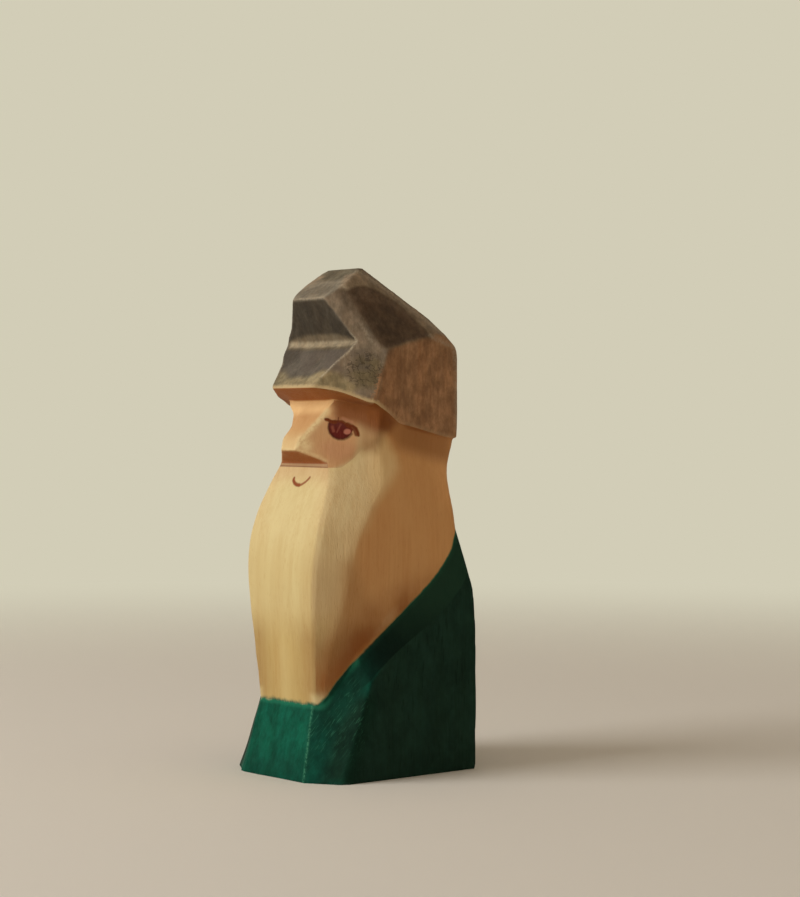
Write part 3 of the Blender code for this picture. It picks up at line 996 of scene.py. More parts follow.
@dataclass(frozen=True)
class SkinWash(WoodFinish):
    """Maple under a thin skin-coloured wash, with painted eyes, and painted shade in the notch,
    along the valley under the nose and under the brim.
    """

    # Painted shade in the notch under the nose, and greyer painted shade on its wall
    notch: str = "#94552f"
    notch_wall_shade: str = "#b08c68"
    shade: str = "#875026"
    # Painted shadow line along the valley under the nose
    valley_shadow: str = "#6d4022"
    pale: str = "#e6cd98"
    iris_low: str = "#5c1a11"
    iris_high: str = "#5e261e"
    eye_middle: Point = (6.62, -6.3, 50.85)
    eye_right: Point = (0.77, 0.64, 0.0)
    eye_up: Point = (-0.09, 0.108, 0.988)
    strokes: tuple[tuple[Stroke, str, float], ...] = (
        (Stroke(((-1.80, 0.95), (-1.88, 0.35), (-1.62, -0.45), (-1.05, -1.05), (-0.30, -1.34),
                 (0.50, -1.30), (1.12, -1.02), (1.58, -0.58)), 0.20, 0.16), "#4a1c0c", 0.7),
        (Stroke(((-1.30, 0.45), (-1.12, -0.15)), 0.20, 0.16), "#8c4c38", 0.75),
        (Stroke(((-0.62, -0.30), (-0.20, 0.55), (-0.05, 0.85)), 0.11, 0.12), "#8a4a3a", 0.65),
        (Stroke(((0.25, 1.72), (0.95, 1.42), (1.60, 1.15)), 0.22, 0.20), "#c08868", 0.4),
        # A painted highlight: the glint of light on the iris
        (Stroke(((0.80, -0.26), (1.06, -0.22)), 0.38, 0.14), "#b4705a", 0.95),
        (Stroke(((-2.20, 1.54), (-1.34, 1.20), (-0.90, 1.12)), 0.24, 0.12), "#6e330c", 0.85),
        (Stroke(((0.98, 0.72), (1.60, 0.46), (2.12, 0.12), (2.36, -0.55)), 0.38, 0.16),
         "#662a08", 0.9),
        (Stroke(((-2.37, 1.62), (-1.86, 1.50), (-1.34, 1.27), (-0.83, 1.30), (0.01, 1.30),
                 (0.46, 1.05), (0.98, 0.73), (1.43, 0.54), (1.82, 0.54), (2.21, 0.23),
                 (2.54, -0.34), (2.62, -0.78)), 0.20, 0.12), "#662a08", 0.92),
        (Stroke(((-0.50, 1.28), (-0.42, 1.82)), 0.09, 0.08), "#5a2410", 0.8))
    iris_at: Point = (-0.05, 0.52, 0.0)
    iris_radius: float = 1.90
    lid_slope: float = 0.62
    lid_height: float = 1.28
    shake: float = 0.22
    wobble: Cloud = Cloud((0.45, 0.45, 0.45), 2.0, 0.6)
    wear: Cloud = Cloud((0.5, 0.5, 0.5), 2.0, 0.6, offset=(2.0, 2.0, 0.0))
    # Painted shadow line along the valley under the nose
    seam: Stroke = Stroke(((-5.6, 45.50), (0.0, 45.46), (6.6, 45.38)), 0.07, 0.06)

    def eyes(self, spot: Spot, colour: Socket) -> Socket:
        """Paint both eyes over a colour: iris, rim, paler strokes and a painted highlight, lid and
        lashes in turn.

        Args:
            spot: The place.
            colour: The colour below.

        Returns:
            The colour with the eyes.
        """
        node = partial(add_node, spot.tree)
        left = node("CombineXYZ", node("Math", spot.readings["x"], operation="ABSOLUTE"),
                    spot.readings["y"], spot.readings["z"])
        offset = node("VectorMath", left, self.eye_middle, operation="SUBTRACT")
        right, up = (node("VectorMath", offset, way, operation="DOT_PRODUCT")
                     for way in (self.eye_right, self.eye_up))
        shake = node("Math", node("Math", self.wobble.lay(spot), -0.5, operation="ADD"),
                     self.shake)
        flat = node("CombineXYZ", right, node("Math", up, shake, operation="ADD"))
        reach = node("VectorMath", flat, self.iris_at, operation="DISTANCE")
        slope = node("Math", node("Math", right, 0.0, operation="MAXIMUM"), self.lid_slope)
        over_lid = node("Math", up, slope, -self.lid_height, operation="ADD")
        near = spot.where(("y", -2.0, -3.0))
        iris = spot.where((reach, self.iris_radius + 0.10, self.iris_radius - 0.12),
                          (over_lid, 0.06, -0.06), near)
        paint = node("Mix", spot.where((up, -0.2, 1.0)), self.iris_low, self.iris_high)
        colour = node("Mix", iris, colour, paint)
        for stroke, ink, share in self.strokes:
            drawn = spot.where(stroke.lay(spot.tree, flat), near, share)
            colour = node("Mix", drawn, colour, ink)
        return colour

    def coat(self, spot: Spot) -> tuple[Socket, Socket]:
        """Build the finish at a place.

        Args:
            spot: The place.

        Returns:
            Its colour, and its relief from 0 to 1.
        """
        node = partial(add_node, spot.tree)
        frontal = spot.where(("back", -0.8, -0.92))
        eaves = spot.where(("sideways", 0.3, 0.5), ("brim", -2.4, -0.7, 0.0, 0.85))
        colour = spot.tint
        # Painted shade in the notch and on its wall, then the painted shadow under the brim
        for share, paint in ((spot.where(frontal, ("z", 46.75, 46.55)), self.notch),
                             (spot.where(frontal, ("z", 45.98, 45.78)), self.notch_wall_shade),
                             (eaves, self.shade)):
            colour = node("Mix", share, colour, paint)
        colour, relief = self.grain.lay(spot, colour, 0.55)
        worn = spot.where(spot.readings["rubbed"], self.wear.lay(spot, 0.30, 0.55, 0.55, 1.0))
        flat = node("CombineXYZ", spot.readings["x"], spot.readings["z"])
        # Painted shadow along the valley under the nose
        line = spot.where(self.seam.lay(spot.tree, flat), frontal, 0.6)
        for share, paint in ((worn, self.pale), (line, self.valley_shadow)):
            colour = node("Mix", share, colour, paint)
        return self.eyes(spot, colour), relief


@dataclass(frozen=True)
class GreyStain(WoodFinish):
    """Grey-brown stain, rubbed thin: dark pools in some facets, pale worn ridges."""

    cream: str = "#cbb184"
    pale: str = "#b5a78e"
    brown: str = "#9f7654"
    streak: str = "#6b4a30"
    grey: str = "#75674f"
    violet: str = "#655a50"
    # Painted shade: the hat's front darkens towards the figure's right
    far_side_shade: str = "#3b332b"
    ink: str = "#382f25"
    marks_at: Point = (9.6, 4.4, 59.8)
    ragged_end: float = 2.4
    ragged_brim: float = 0.7
    pools: Cloud = Cloud((2.2, 2.2, 3.0), 3.0, 0.55)
    blots: Cloud = Cloud((0.6, 0.6, 0.9), 3.0, 0.65, offset=(2.0, 5.0, 0.0))
    hue: Cloud = Cloud((2.8, 2.8, 2.8), 2.0, 0.5, offset=(8.0, 1.0, 3.0))
    scribble: Cloud = Cloud((1.1, 1.1, 0.8), 1.5, 0.5, offset=(0.0, 3.0, 6.0))
    streaks: Cloud = Cloud((0.7, 0.7, 7.0), 3.0, 0.6, offset=(0.0, 6.0, 0.0))
    wear: Cloud = Cloud((0.35, 0.35, 0.35), 3.0, 0.65, offset=(4.0, 4.0, 0.0))

    def coat(self, spot: Spot) -> tuple[Socket, Socket]:
        """Build the finish at a place.

        Args:
            spot: The place.

        Returns:
            Its colour, and its relief from 0 to 1.
        """
        node = partial(add_node, spot.tree)
        colour, relief = self.grain.lay(spot, spot.tint, 0.8)
        frontal = spot.where(("back", -0.45, -0.7))
        rough = node("Math", self.wear.lay(spot), -0.5, operation="ADD")
        edge = node("Math", spot.readings["grey_end"], node("Math", rough, self.ragged_end),
                    operation="ADD")
        greyed = spot.where((edge, 0.5, -0.4), ("sideways", 0.93, 0.97))
        browned = spot.where((edge, -0.1, 0.3), ("sideways", 0.97, 0.93), ("z", 60.5, 58.5))
        for share, paint in ((greyed, self.grey), (browned, self.brown)):
            colour = node("Mix", share, colour, paint)
        light = spot.where(self.pools.lay(spot, 0.36, 0.66, 0.82, 1.20),
                           self.blots.lay(spot, 0.34, 0.68, 0.86, 1.14))
        colour = node("VectorMath", colour, light, operation="SCALE")
        cool = spot.where(frontal, ("z", 63.0, 62.3), ("z", 59.0, 60.0),
                          self.hue.lay(spot, 0.40, 0.60, 0.05, 0.6))
        # Painted shade darkening the front towards the figure's right edge
        far_side_shade = spot.where(frontal, ("x", -2.0, -7.5, 0.0, 0.75), ("z", 63.6, 62.6))
        grained = spot.where(("sideways", 0.93, 0.985),
                             self.streaks.lay(spot, 0.44, 0.66, 0.0, 0.17))
        loop = node("Math", node("Math", self.scribble.lay(spot), -0.5, operation="ADD"),
                    operation="ABSOLUTE")
        gap = node("VectorMath", node("VectorMath", spot.place, operation="ABSOLUTE"),
                   self.marks_at, operation="DISTANCE")
        marks = spot.where((loop, 0.045, 0.015), (gap, 3.4, 2.2, 0.0, 0.55),
                           ("back", -0.25, -0.45))
        worn = spot.where(spot.readings["rubbed"], self.wear.lay(spot, 0.36, 0.60, 0.25, 1.0))
        ragged = node("Math", spot.readings["brim"], node("Math", rough, self.ragged_brim),
                      operation="ADD")
        rim = spot.where((ragged, 0.75, 0.1, 0.0, 0.9), ("y", 0.5, -4.0, 0.2, 1.0))
        for share, paint in ((cool, self.violet), (far_side_shade, self.far_side_shade), (grained, self.streak),
                             (marks, self.ink), (worn, self.pale), (rim, self.cream)):
            colour = node("Mix", share, colour, paint)
        return colour, relief


# Parts of the block

class Form:
    """A part of the carving: its zone, finish, facets, odd areas and rubbed lines."""

    zone: Zone
    finish: WoodFinish
    patches: tuple[Patch, ...] = ()
    rubbed: tuple[RubbedLine, ...] = ()

    def facets(self) -> list[Facet]:
        """Return the part's facets; each part has its own."""
        return []

    def stain(self, places: np.ndarray, normals: np.ndarray) -> tuple[np.ndarray, np.ndarray]:
        """Work out the colour of places on either side of the figure: their stain, and painted
        light and shade.

        Args:
            places: The places in millimetres.
            normals: The surface directions there.

        Returns:
            The linear colours, one row for each place, and how much each
            place is rubbed.
        """
        mirror = np.where(places[:, :1] < 0, -1.0, 1.0) * (1.0, 0.0, 0.0) + (0.0, 1.0, 1.0)
        left, facings = places * mirror, normals * mirror
        tint = facet_tints(self.facets(), left, facings)
        for patch in self.patches:
            tint = patch.lay(tint, left, facings)
        rub = np.zeros(len(places))
        for line in self.rubbed:
            rub = np.maximum(rub, line.rub(left))
        return tint, rub

    def dress(self, piece: Object) -> None:
        """Give the piece its finish, named as its slot, and its body, and hide the CAD part of its
        node.

        Args:
            piece: The piece.
        """
        piece.data.materials.clear()
        piece.data.materials.append(self.finish.material())
        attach(piece, "root")
        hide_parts(self.zone.node)
        self.zone.slot


@dataclass
class Coat(Form):
    """The coat: a block that flares to the foot, bevelled below the beard.

    The collar band is cut between its valley, along the beard, and its ledge.
    """

    zone: Zone = Zone.COAT
    # Thin stain on wood gives soft clouds of green with the grain still in them
    finish: WoodFinish = GreenStain("green_stained_maple", 0.56, 0.04)
    half_width: float = 13.5
    half_depth: float = 14.4
    height: float = 40.0
    front_top: SidePoint = (-11.25, 11.2)
    back: SidePoints = (
        (14.05, 0.0), (14.4, 9.0), (14.4, 20.5), (14.05, 26.0), (13.2, 31.4),
        (12.05, 36.5), (11.0, 40.0))
    chamfer: Points = ((8.0, -14.4, 0.0), (6.2, -11.25, 11.2), (13.5, -11.0, 0.0))
    side_taper: Points = ((13.5, 0.0, 0.0), (13.5, 10.0, 0.0), (13.15, 0.0, 24.0))
    blunts: tuple[Blunt, ...] = (
        ((13.5, -11.0, 0.0), (0.71, -0.66, 0.24), 0.22),
        ((13.5, -11.0, 0.0), (0.866, -0.469, 0.174), 0.3),
        ((13.5, -11.0, 0.0), (0.965, -0.24, 0.1), 0.22),
        ((13.04, 13.2, 31.4), (0.643, 0.766, 0.3), 0.72))
    valley: Points = (
        (7.7, -10.5, 11.2), (8.75, -9.6, 13.4), (9.9, -7.9, 15.65), (10.8, -4.8, 19.0),
        (12.0, -0.1, 23.2), (12.2, 4.7, 26.7), (12.2, 7.9, 29.6), (12.1, 10.3, 32.3),
        (12.0, 11.2, 34.4), (11.6, 12.2, 37.5))
    ledge: Points = (
        (13.4, -9.0, 6.0), (13.4, -7.9, 10.0), (13.35, -6.0, 13.7), (13.3, -2.8, 17.1),
        (13.25, 2.1, 20.4), (13.15, 6.9, 23.4), (13.1, 10.2, 25.9), (13.0, 12.4, 28.6),
        (12.8, 13.5, 32.0), (12.2, 14.6, 36.0))
    lift: Point = (0.0, -20.7, 21.6)
    overlap: float = 0.8
    steps: int = 10
    patches: tuple[Patch, ...] = (
        Patch(((11.3, -7.6, 13.0), (10.2, -10.4, 8.1), (10.2, -11.4, 4.5), (10.3, -12.6, 0.0),
               (14.6, -10.3, 0.0), (14.2, -8.8, 5.6), (14.2, -7.6, 8.1), (14.4, -5.8, 12.2)),
              "#133024", 1.6),
        Patch(((-1.0, -14.5, 3.2), (8.0, -14.5, 3.2), (8.2, -14.5, -1.0), (-1.0, -14.5, -1.0)),
              "#0a4636", 2.0, 0.9),
        Patch(((6.0, -11.4, 11.8), (7.2, -12.0, 7.6), (10.4, -9.3, 9.0), (12.4, -6.6, 13.0),
               (11.6, -5.5, 19.0), (8.0, -9.6, 13.0)), "#0b3327", 1.4, 0.7, 3.0))
    rubbed: tuple[RubbedLine, ...] = (
        RubbedLine(((6.2, -11.25, 11.2), (8.0, -14.4, 0.0)), 0.19, 0.6),)

    def facets(self) -> list[Facet]:
        """Return the coat's facets: darker on the chamfer, and darker and greyer on the sides and
        back, partly deeper stain and partly painted shade.
        """
        return [Facet((0.0, -0.96, 0.27), "#0d5743"),
                Facet.of_corners(self.chamfer, "#0d4134"),
                Facet((1.0, 0.0, 0.0), "#1c352a"),
                Facet((0.0, 1.0, 0.0), "#20402f"),
                Facet((0.0, 0.0, -1.0), "#2a4638")]

    def carve(self) -> Mesh:
        """Pare the coat from a block and cut its collar band on both sides.

        Returns:
            The closed solid.
        """
        bm = blank((-self.half_width, -self.half_depth, 0.0),
                   (self.half_width, self.half_depth, self.height))
        pare_across(bm, (-self.half_depth, 0.0), self.front_top)
        for low, high in zip(self.back, self.back[1:]):
            pare_across(bm, high, low)
        for corners in (self.side_taper, self.chamfer):
            pare_sides(bm, corners[0], facing(corners))
        for at, outward, depth in self.blunts:
            pare_sides(bm, at, outward, depth)
        lines = [eased(line, self.steps) for line in (self.valley, self.ledge)]
        cuts = [cut("DIFFERENCE", ruled_cutter(*lines, self.overlap, self.lift, side))
                for side in (1, -1)]
        return worked("coat_block", into_mesh(bm, "coat_block"), *cuts)


@dataclass
class Beard(Form):
    """Beard, neck and hair: a column of soft ridges.

    Each rail runs up the figure's left as (x, y, z) points, one for each ring
    of the column, from the front strip's edge round to the back.
    """

    zone: Zone = Zone.BEARD
    # Bare wood, handled for years, gives a soft cream, with redder painted shade low down
    finish: WoodFinish = BareMaple("bare_waxed_maple", 0.60)
    rails: dict[str, Points] = field(default_factory=lambda: {
        "strip_edge": (
            (6.5, -11.1, 9.0), (6.7, -11.4, 11.2), (6.85, -11.65, 15.0), (7.1, -11.98, 20.3),
            (7.45, -12.42, 24.0), (7.85, -12.75, 28.0), (8.1, -12.7, 31.3), (8.2, -12.15, 35.1),
            (8.0, -11.2, 38.2), (7.75, -10.2, 40.7), (7.15, -8.98, 43.4), (6.1, -8.15, 45.4),
            (4.75, -8.4, 46.6), (4.6, -6.8, 50.5), (5.0, -5.0, 54.0), (4.5, -4.0, 58.0)),
        "ridge": (
            (7.2, -10.7, 9.0), (7.7, -10.5, 11.2), (8.2, -10.3, 15.0), (9.0, -9.9, 20.3),
            (10.07, -8.95, 24.0), (10.9, -8.3, 28.0), (11.3, -8.05, 31.3), (11.6, -7.0, 35.1),
            (11.6, -5.2, 38.2), (11.5, -3.6, 40.7), (11.35, -1.9, 43.4), (11.15, -2.0, 45.4),
            (10.95, -2.7, 48.6), (10.95, -2.3, 51.2), (10.95, -1.6, 54.0), (10.5, -1.0, 58.0)),
        "side_front": (
            (8.6, -8.8, 9.0), (9.0, -8.5, 11.2), (9.7, -8.0, 15.0), (11.2, -3.4, 20.3),
            (12.0, 0.8, 24.0), (12.25, 4.2, 28.0), (12.25, 3.8, 31.3), (12.1, 3.0, 35.1),
            (11.9, 3.0, 38.2), (11.7, 3.2, 40.7), (11.45, 3.6, 43.4), (11.05, 3.4, 45.6),
            (10.45, 3.4, 48.0), (10.4, 2.6, 50.2), (11.1, 2.4, 51.9), (10.9, 3.0, 58.0)),
        "side_back": (
            (11.6, 6.0, 9.0), (11.8, 6.0, 11.2), (12.0, 7.0, 15.0), (12.2, 8.0, 20.3),
            (12.25, 8.6, 24.0), (12.25, 9.0, 28.0), (12.25, 9.0, 31.3), (12.05, 8.8, 35.1),
            (11.95, 8.4, 38.2), (11.75, 8.0, 40.7), (11.4, 7.6, 43.2), (10.95, 7.6, 45.2),
            (10.45, 8.0, 47.0), (10.4, 8.2, 49.2), (11.1, 8.2, 51.0), (10.9, 9.0, 58.0)),
        "back_side": (
            (11.6, 12.0, 9.0), (11.8, 12.0, 11.2), (12.0, 12.6, 15.0), (12.2, 12.8, 20.3),
            (12.2, 12.9, 24.0), (12.2, 12.4, 28.0), (12.15, 12.0, 31.3), (12.0, 11.25, 35.1),
            (11.85, 10.75, 38.2), (11.6, 10.3, 40.7), (11.25, 10.0, 43.2), (10.9, 10.15, 45.0),
            (10.55, 10.75, 46.6), (10.6, 11.2, 48.2), (11.1, 11.5, 50.1), (10.9, 11.0, 58.0)),
        "back_corner": (
            (10.4, 13.2, 9.0), (10.6, 13.3, 11.2), (10.8, 13.8, 15.0), (11.0, 13.9, 20.3),
            (11.1, 13.85, 24.0), (11.1, 13.4, 28.0), (11.1, 13.0, 31.3), (11.0, 12.3, 35.1),
            (11.1, 11.85, 38.2), (10.85, 11.4, 40.7), (10.5, 11.1, 43.2), (10.2, 11.25, 45.0),
            (10.0, 11.75, 46.6), (10.2, 12.15, 48.2), (10.5, 12.4, 50.25), (10.0, 12.0, 58.0)),
        "back": (
            (5.0, 13.3, 9.0), (5.0, 13.4, 11.2), (5.0, 13.9, 15.0), (5.0, 14.0, 20.3),
            (5.0, 13.9, 24.0), (5.0, 13.5, 28.0), (5.0, 13.1, 31.3), (5.0, 12.4, 35.1),
            (5.0, 11.95, 38.2), (5.0, 11.5, 40.7), (4.8, 11.2, 43.2), (4.7, 11.35, 45.0),
            (4.6, 11.85, 46.6), (4.7, 12.25, 48.2), (5.0, 12.5, 50.3), (5.0, 12.0, 58.0)),
    })
    creases: dict[str, float] = field(default_factory=lambda: {
        "strip_edge": 0.88, "ridge": 0.55, "side_front": 0.25, "back_side": 0.7,
        "back_corner": 0.7})
    smoothing: int = 3
    # Painted light and shade: the front strip lighter high up and darker towards the foot, lighter
    # lit areas high on the side, by the beard's tip and at the neck's back, darker shade along the
    # collar valley and at the low front edge, then the painted shade under the hat
    patches: tuple[Patch, ...] = (
        Patch(((-1.0, -12.3, 22.0), (8.6, -12.3, 22.0), (8.6, -11.4, 8.0), (-1.0, -11.4, 8.0)),
              "#c4a668", 4.5, 0.9, 3.0),
        Patch(((-1.0, -12.3, 34.0), (8.0, -12.3, 34.0), (8.0, -8.4, 47.0), (-1.0, -8.4, 47.0)),
              "#dbc690", 3.5, 0.8, 3.0),
        Patch(((6.9, -9.3, 44.6), (11.0, -2.5, 44.6), (11.5, -6.6, 37.5), (8.6, -11.4, 37.5)),
              "#e5cc99", 2.4, 0.85, 3.0),
        Patch(((10.6, -9.2, 31.5), (9.91, -9.47, 26.3), (9.29, -9.72, 21.9), (8.49, -10.2, 17.5),
               (7.7, -10.7, 13.1), (9.6, -7.8, 16.4), (11.0, -4.5, 20.5), (11.6, -3.5, 24.0),
               (11.6, -6.0, 28.0), (11.3, -7.8, 32.0)), "#b98a58", 1.6, 0.7, 3.0),
        Patch(((8.0, -12.3, 31.0), (10.7, -8.9, 31.0), (10.2, -9.0, 22.5), (7.6, -12.3, 22.5)),
              "#b8986a", 3.5, 0.35, 3.0),
        Patch(((7.6, -12.3, 20.0), (10.4, -8.6, 20.0), (8.9, -9.6, 14.5), (8.0, -10.6, 12.6),
               (7.0, -11.6, 12.6)), "#8f6539", 5.0, 0.95, 3.0),
        Patch(((6.4, -11.8, 12.2), (7.3, -11.0, 12.2), (8.6, -10.0, 12.4), (8.6, -10.0, 9.0),
               (6.4, -11.4, 9.0)), "#d8c694", 0.9, 0.9, 2.0),
        Patch(((10.9, -3.0, 51.0), (10.8, -0.9, 49.4), (10.93, 0.7, 46.9), (11.15, 0.8, 45.3),
               (11.36, -0.5, 43.5), (11.45, -2.1, 41.8), (11.5, -3.9, 40.5), (10.9, -3.6, 43.6),
               (10.9, -3.4, 46.5), (10.75, -3.6, 49.4)), "#edcc94", 1.3, 0.8, 2.0),
        Patch(((11.0, 7.0, 52.0), (11.0, 12.6, 52.0), (11.6, 12.6, 40.0), (11.6, 9.0, 40.0)),
              "#e6ab70", 2.2, 0.7, 3.0),
        Patch(((10.7, -6.4, 21.2), (9.2, -9.2, 17.0), (7.6, -10.6, 11.0), (9.5, -7.9, 15.5),
               (11.0, -3.9, 19.4), (11.7, -1.0, 22.0)), "#8c5831", 1.5, 0.8, 3.0),
        HAIR_SHADE, PAINTED_BRIM_SHADOW)

    def facets(self) -> list[Facet]:
        """Return the ways the wood faces: sides and back redder and darker, as painted shade with
        warm reflected light, and faces turned down darker still, as painted shade.
        """
        return [Facet((0.0, -1.0, 0.0), "#d4be86"),
                Facet((0.81, -0.58, 0.0), "#d4ba8a"),
                Facet((1.0, 0.05, 0.0), "#d89c60"),
                Facet((0.0, 1.0, 0.0), "#d4a269"),
                Facet((0.75, 0.1, -0.65), "#a8703f"),
                Facet((0.0, -0.5, -0.87), "#a6693a")]

    def carve(self) -> Mesh:
        """Raise the column ring by ring and round its hollows and bulges.

        Returns:
            The closed solid.
        """
        creases = [self.creases.get(name, 0.0) for name in self.rails]
        creases += creases[::-1]
        rings = [[mm(*point) for point in half] + [mm(-x, y, z) for x, y, z in half[::-1]]
                 for half in zip(*self.rails.values())]
        bm = bmesh.new()
        layer = bm.edges.layers.float.new("crease_edge")
        ring = [bm.verts.new(place) for place in rings[0]]
        foot = top = bm.faces.new(ring)
        for places in rings[1:]:
            raised = bmesh.ops.extrude_face_region(bm, geom=[top])["geom"]
            if top is not foot:
                bm.faces.remove(top)
            top = next(item for item in raised if isinstance(item, bmesh.types.BMFace))
            lifted = [min(top.verts, key=lambda vert: (vert.co - old.co).length)
                      for old in ring]
            for old, new, crease in zip(ring, lifted, creases):
                bm.edges.get((old, new))[layer] = crease
            for vert, place in zip(lifted, places):
                vert.co = place
            ring = lifted
        bmesh.ops.recalc_face_normals(bm, faces=bm.faces)
        rounding = {"levels": self.smoothing, "render_levels": self.smoothing,
                    "boundary_smooth": "PRESERVE_CORNERS"}
        return worked("beard_column", into_mesh(bm, "beard_column", False),
                      ("SUBSURF", rounding))


@dataclass
class Face(Form):
    """Forehead, nose and cheeks: a wedge set into the head."""

    zone: Zone = Zone.FACE
    # A thin wash evens the wood out, and rubbed arrises let it show pale again
    finish: WoodFinish = SkinWash("skin_washed_maple", 0.60)
    low: Point = (-11.0, -12.0, 43.0)
    high: Point = (11.0, -0.6, 57.5)
    brow: SidePoint = (-6.65, 55.05)
    bridge_foot: SidePoint = (-10.45, 49.6)
    nose_tip: SidePoint = (-11.02, 47.85)
    notch: SidePoint = (-8.75, 46.45)
    cheek: Points = ((2.2, -10.55, 47.85), (5.7, -6.3, 55.05), (11.0, -2.85, 49.4))
    lip: Points = ((5.95, -8.0, 45.35), (11.0, -2.85, 49.4), (5.32, -7.24, 45.35))
    patches: tuple[Patch, ...] = (
        Patch(((8.7, -4.4, 52.6), (8.57, -4.48, 51.6), (8.68, -4.58, 50.56), (8.7, -4.75, 49.4),
               (8.6, -4.95, 47.93), (8.1, -5.35, 46.7), (7.4, -6.3, 45.8), (6.4, -7.6, 45.2),
               (7.5, -7.0, 44.0), (11.5, -2.4, 45.5), (12.0, -1.0, 56.0), (9.0, -4.4, 55.0)),
              "#cbb080", 0.5, 1.0, 2.6),
        Patch(((4.6, -8.6, 48.6), (5.4, -7.6, 49.3), (7.4, -5.8, 49.0), (8.6, -4.9, 48.4),
               (8.2, -5.4, 46.8), (6.8, -6.9, 46.2), (5.4, -8.1, 46.8)), "#bc8660", 0.9, 0.55, 2.0),
        # Painted light on the forehead just under the brim
        Patch(((-1.0, -7.8, 53.2), (4.9, -7.3, 53.2), (5.6, -6.4, 55.1), (-1.0, -6.4, 55.1)),
              "#e6bb82", 0.7),
        HAIR_SHADE, PAINTED_BRIM_SHADOW)
    rubbed: tuple[RubbedLine, ...] = (
        RubbedLine(((4.75, -7.5, 53.6), (3.9, -8.4, 52.18), (3.1, -9.3, 50.85),
                    (2.3, -10.25, 49.38), (1.7, -10.75, 48.3)), 0.46),
        RubbedLine(((2.2, -10.35, 49.5), (2.9, -9.9, 48.5)), 0.95, 0.75),
        RubbedLine(((-1.0, -10.95, 47.95), (1.88, -10.8, 47.95), (3.14, -9.81, 47.6)),
                   0.22, 0.7),
        RubbedLine(((3.14, -9.81, 47.6), (4.4, -8.9, 46.95), (5.4, -8.2, 46.3)), 0.3, 0.45))

    def facets(self) -> list[Facet]:
        """Return the face's facets, from the washed brow to the notch, which like the faces turned
        down is darkened as painted shade.
        """
        return [Facet.of_profile(self.bridge_foot, self.brow, "#cc9b66"),
                Facet.of_profile(self.nose_tip, self.bridge_foot, "#ddc08a"),
                Facet.of_profile(self.notch, self.nose_tip, "#9c5a30"),
                Facet.of_corners(self.cheek, "#c49668"),
                Facet((0.0, -0.46, -0.89), "#9c6135"),
                Facet((1.0, 0.0, 0.0), "#c99c68")]

    def carve(self) -> Mesh:
        """Pare the wedge: front facet, nose tip, notch below it, cheeks and jaw.

        Returns:
            The closed solid.
        """
        bm = blank(self.low, self.high)
        profile = (self.brow, self.bridge_foot, self.nose_tip, self.notch)
        for high, low in zip(profile, profile[1:]):
            pare_across(bm, low, high)
        pare_sides(bm, self.cheek[0], facing(self.cheek))
        pare_sides(bm, self.lip[0], facing(self.lip, (0.0, 0.0, -1.0)))
        return into_mesh(bm, "face_block")


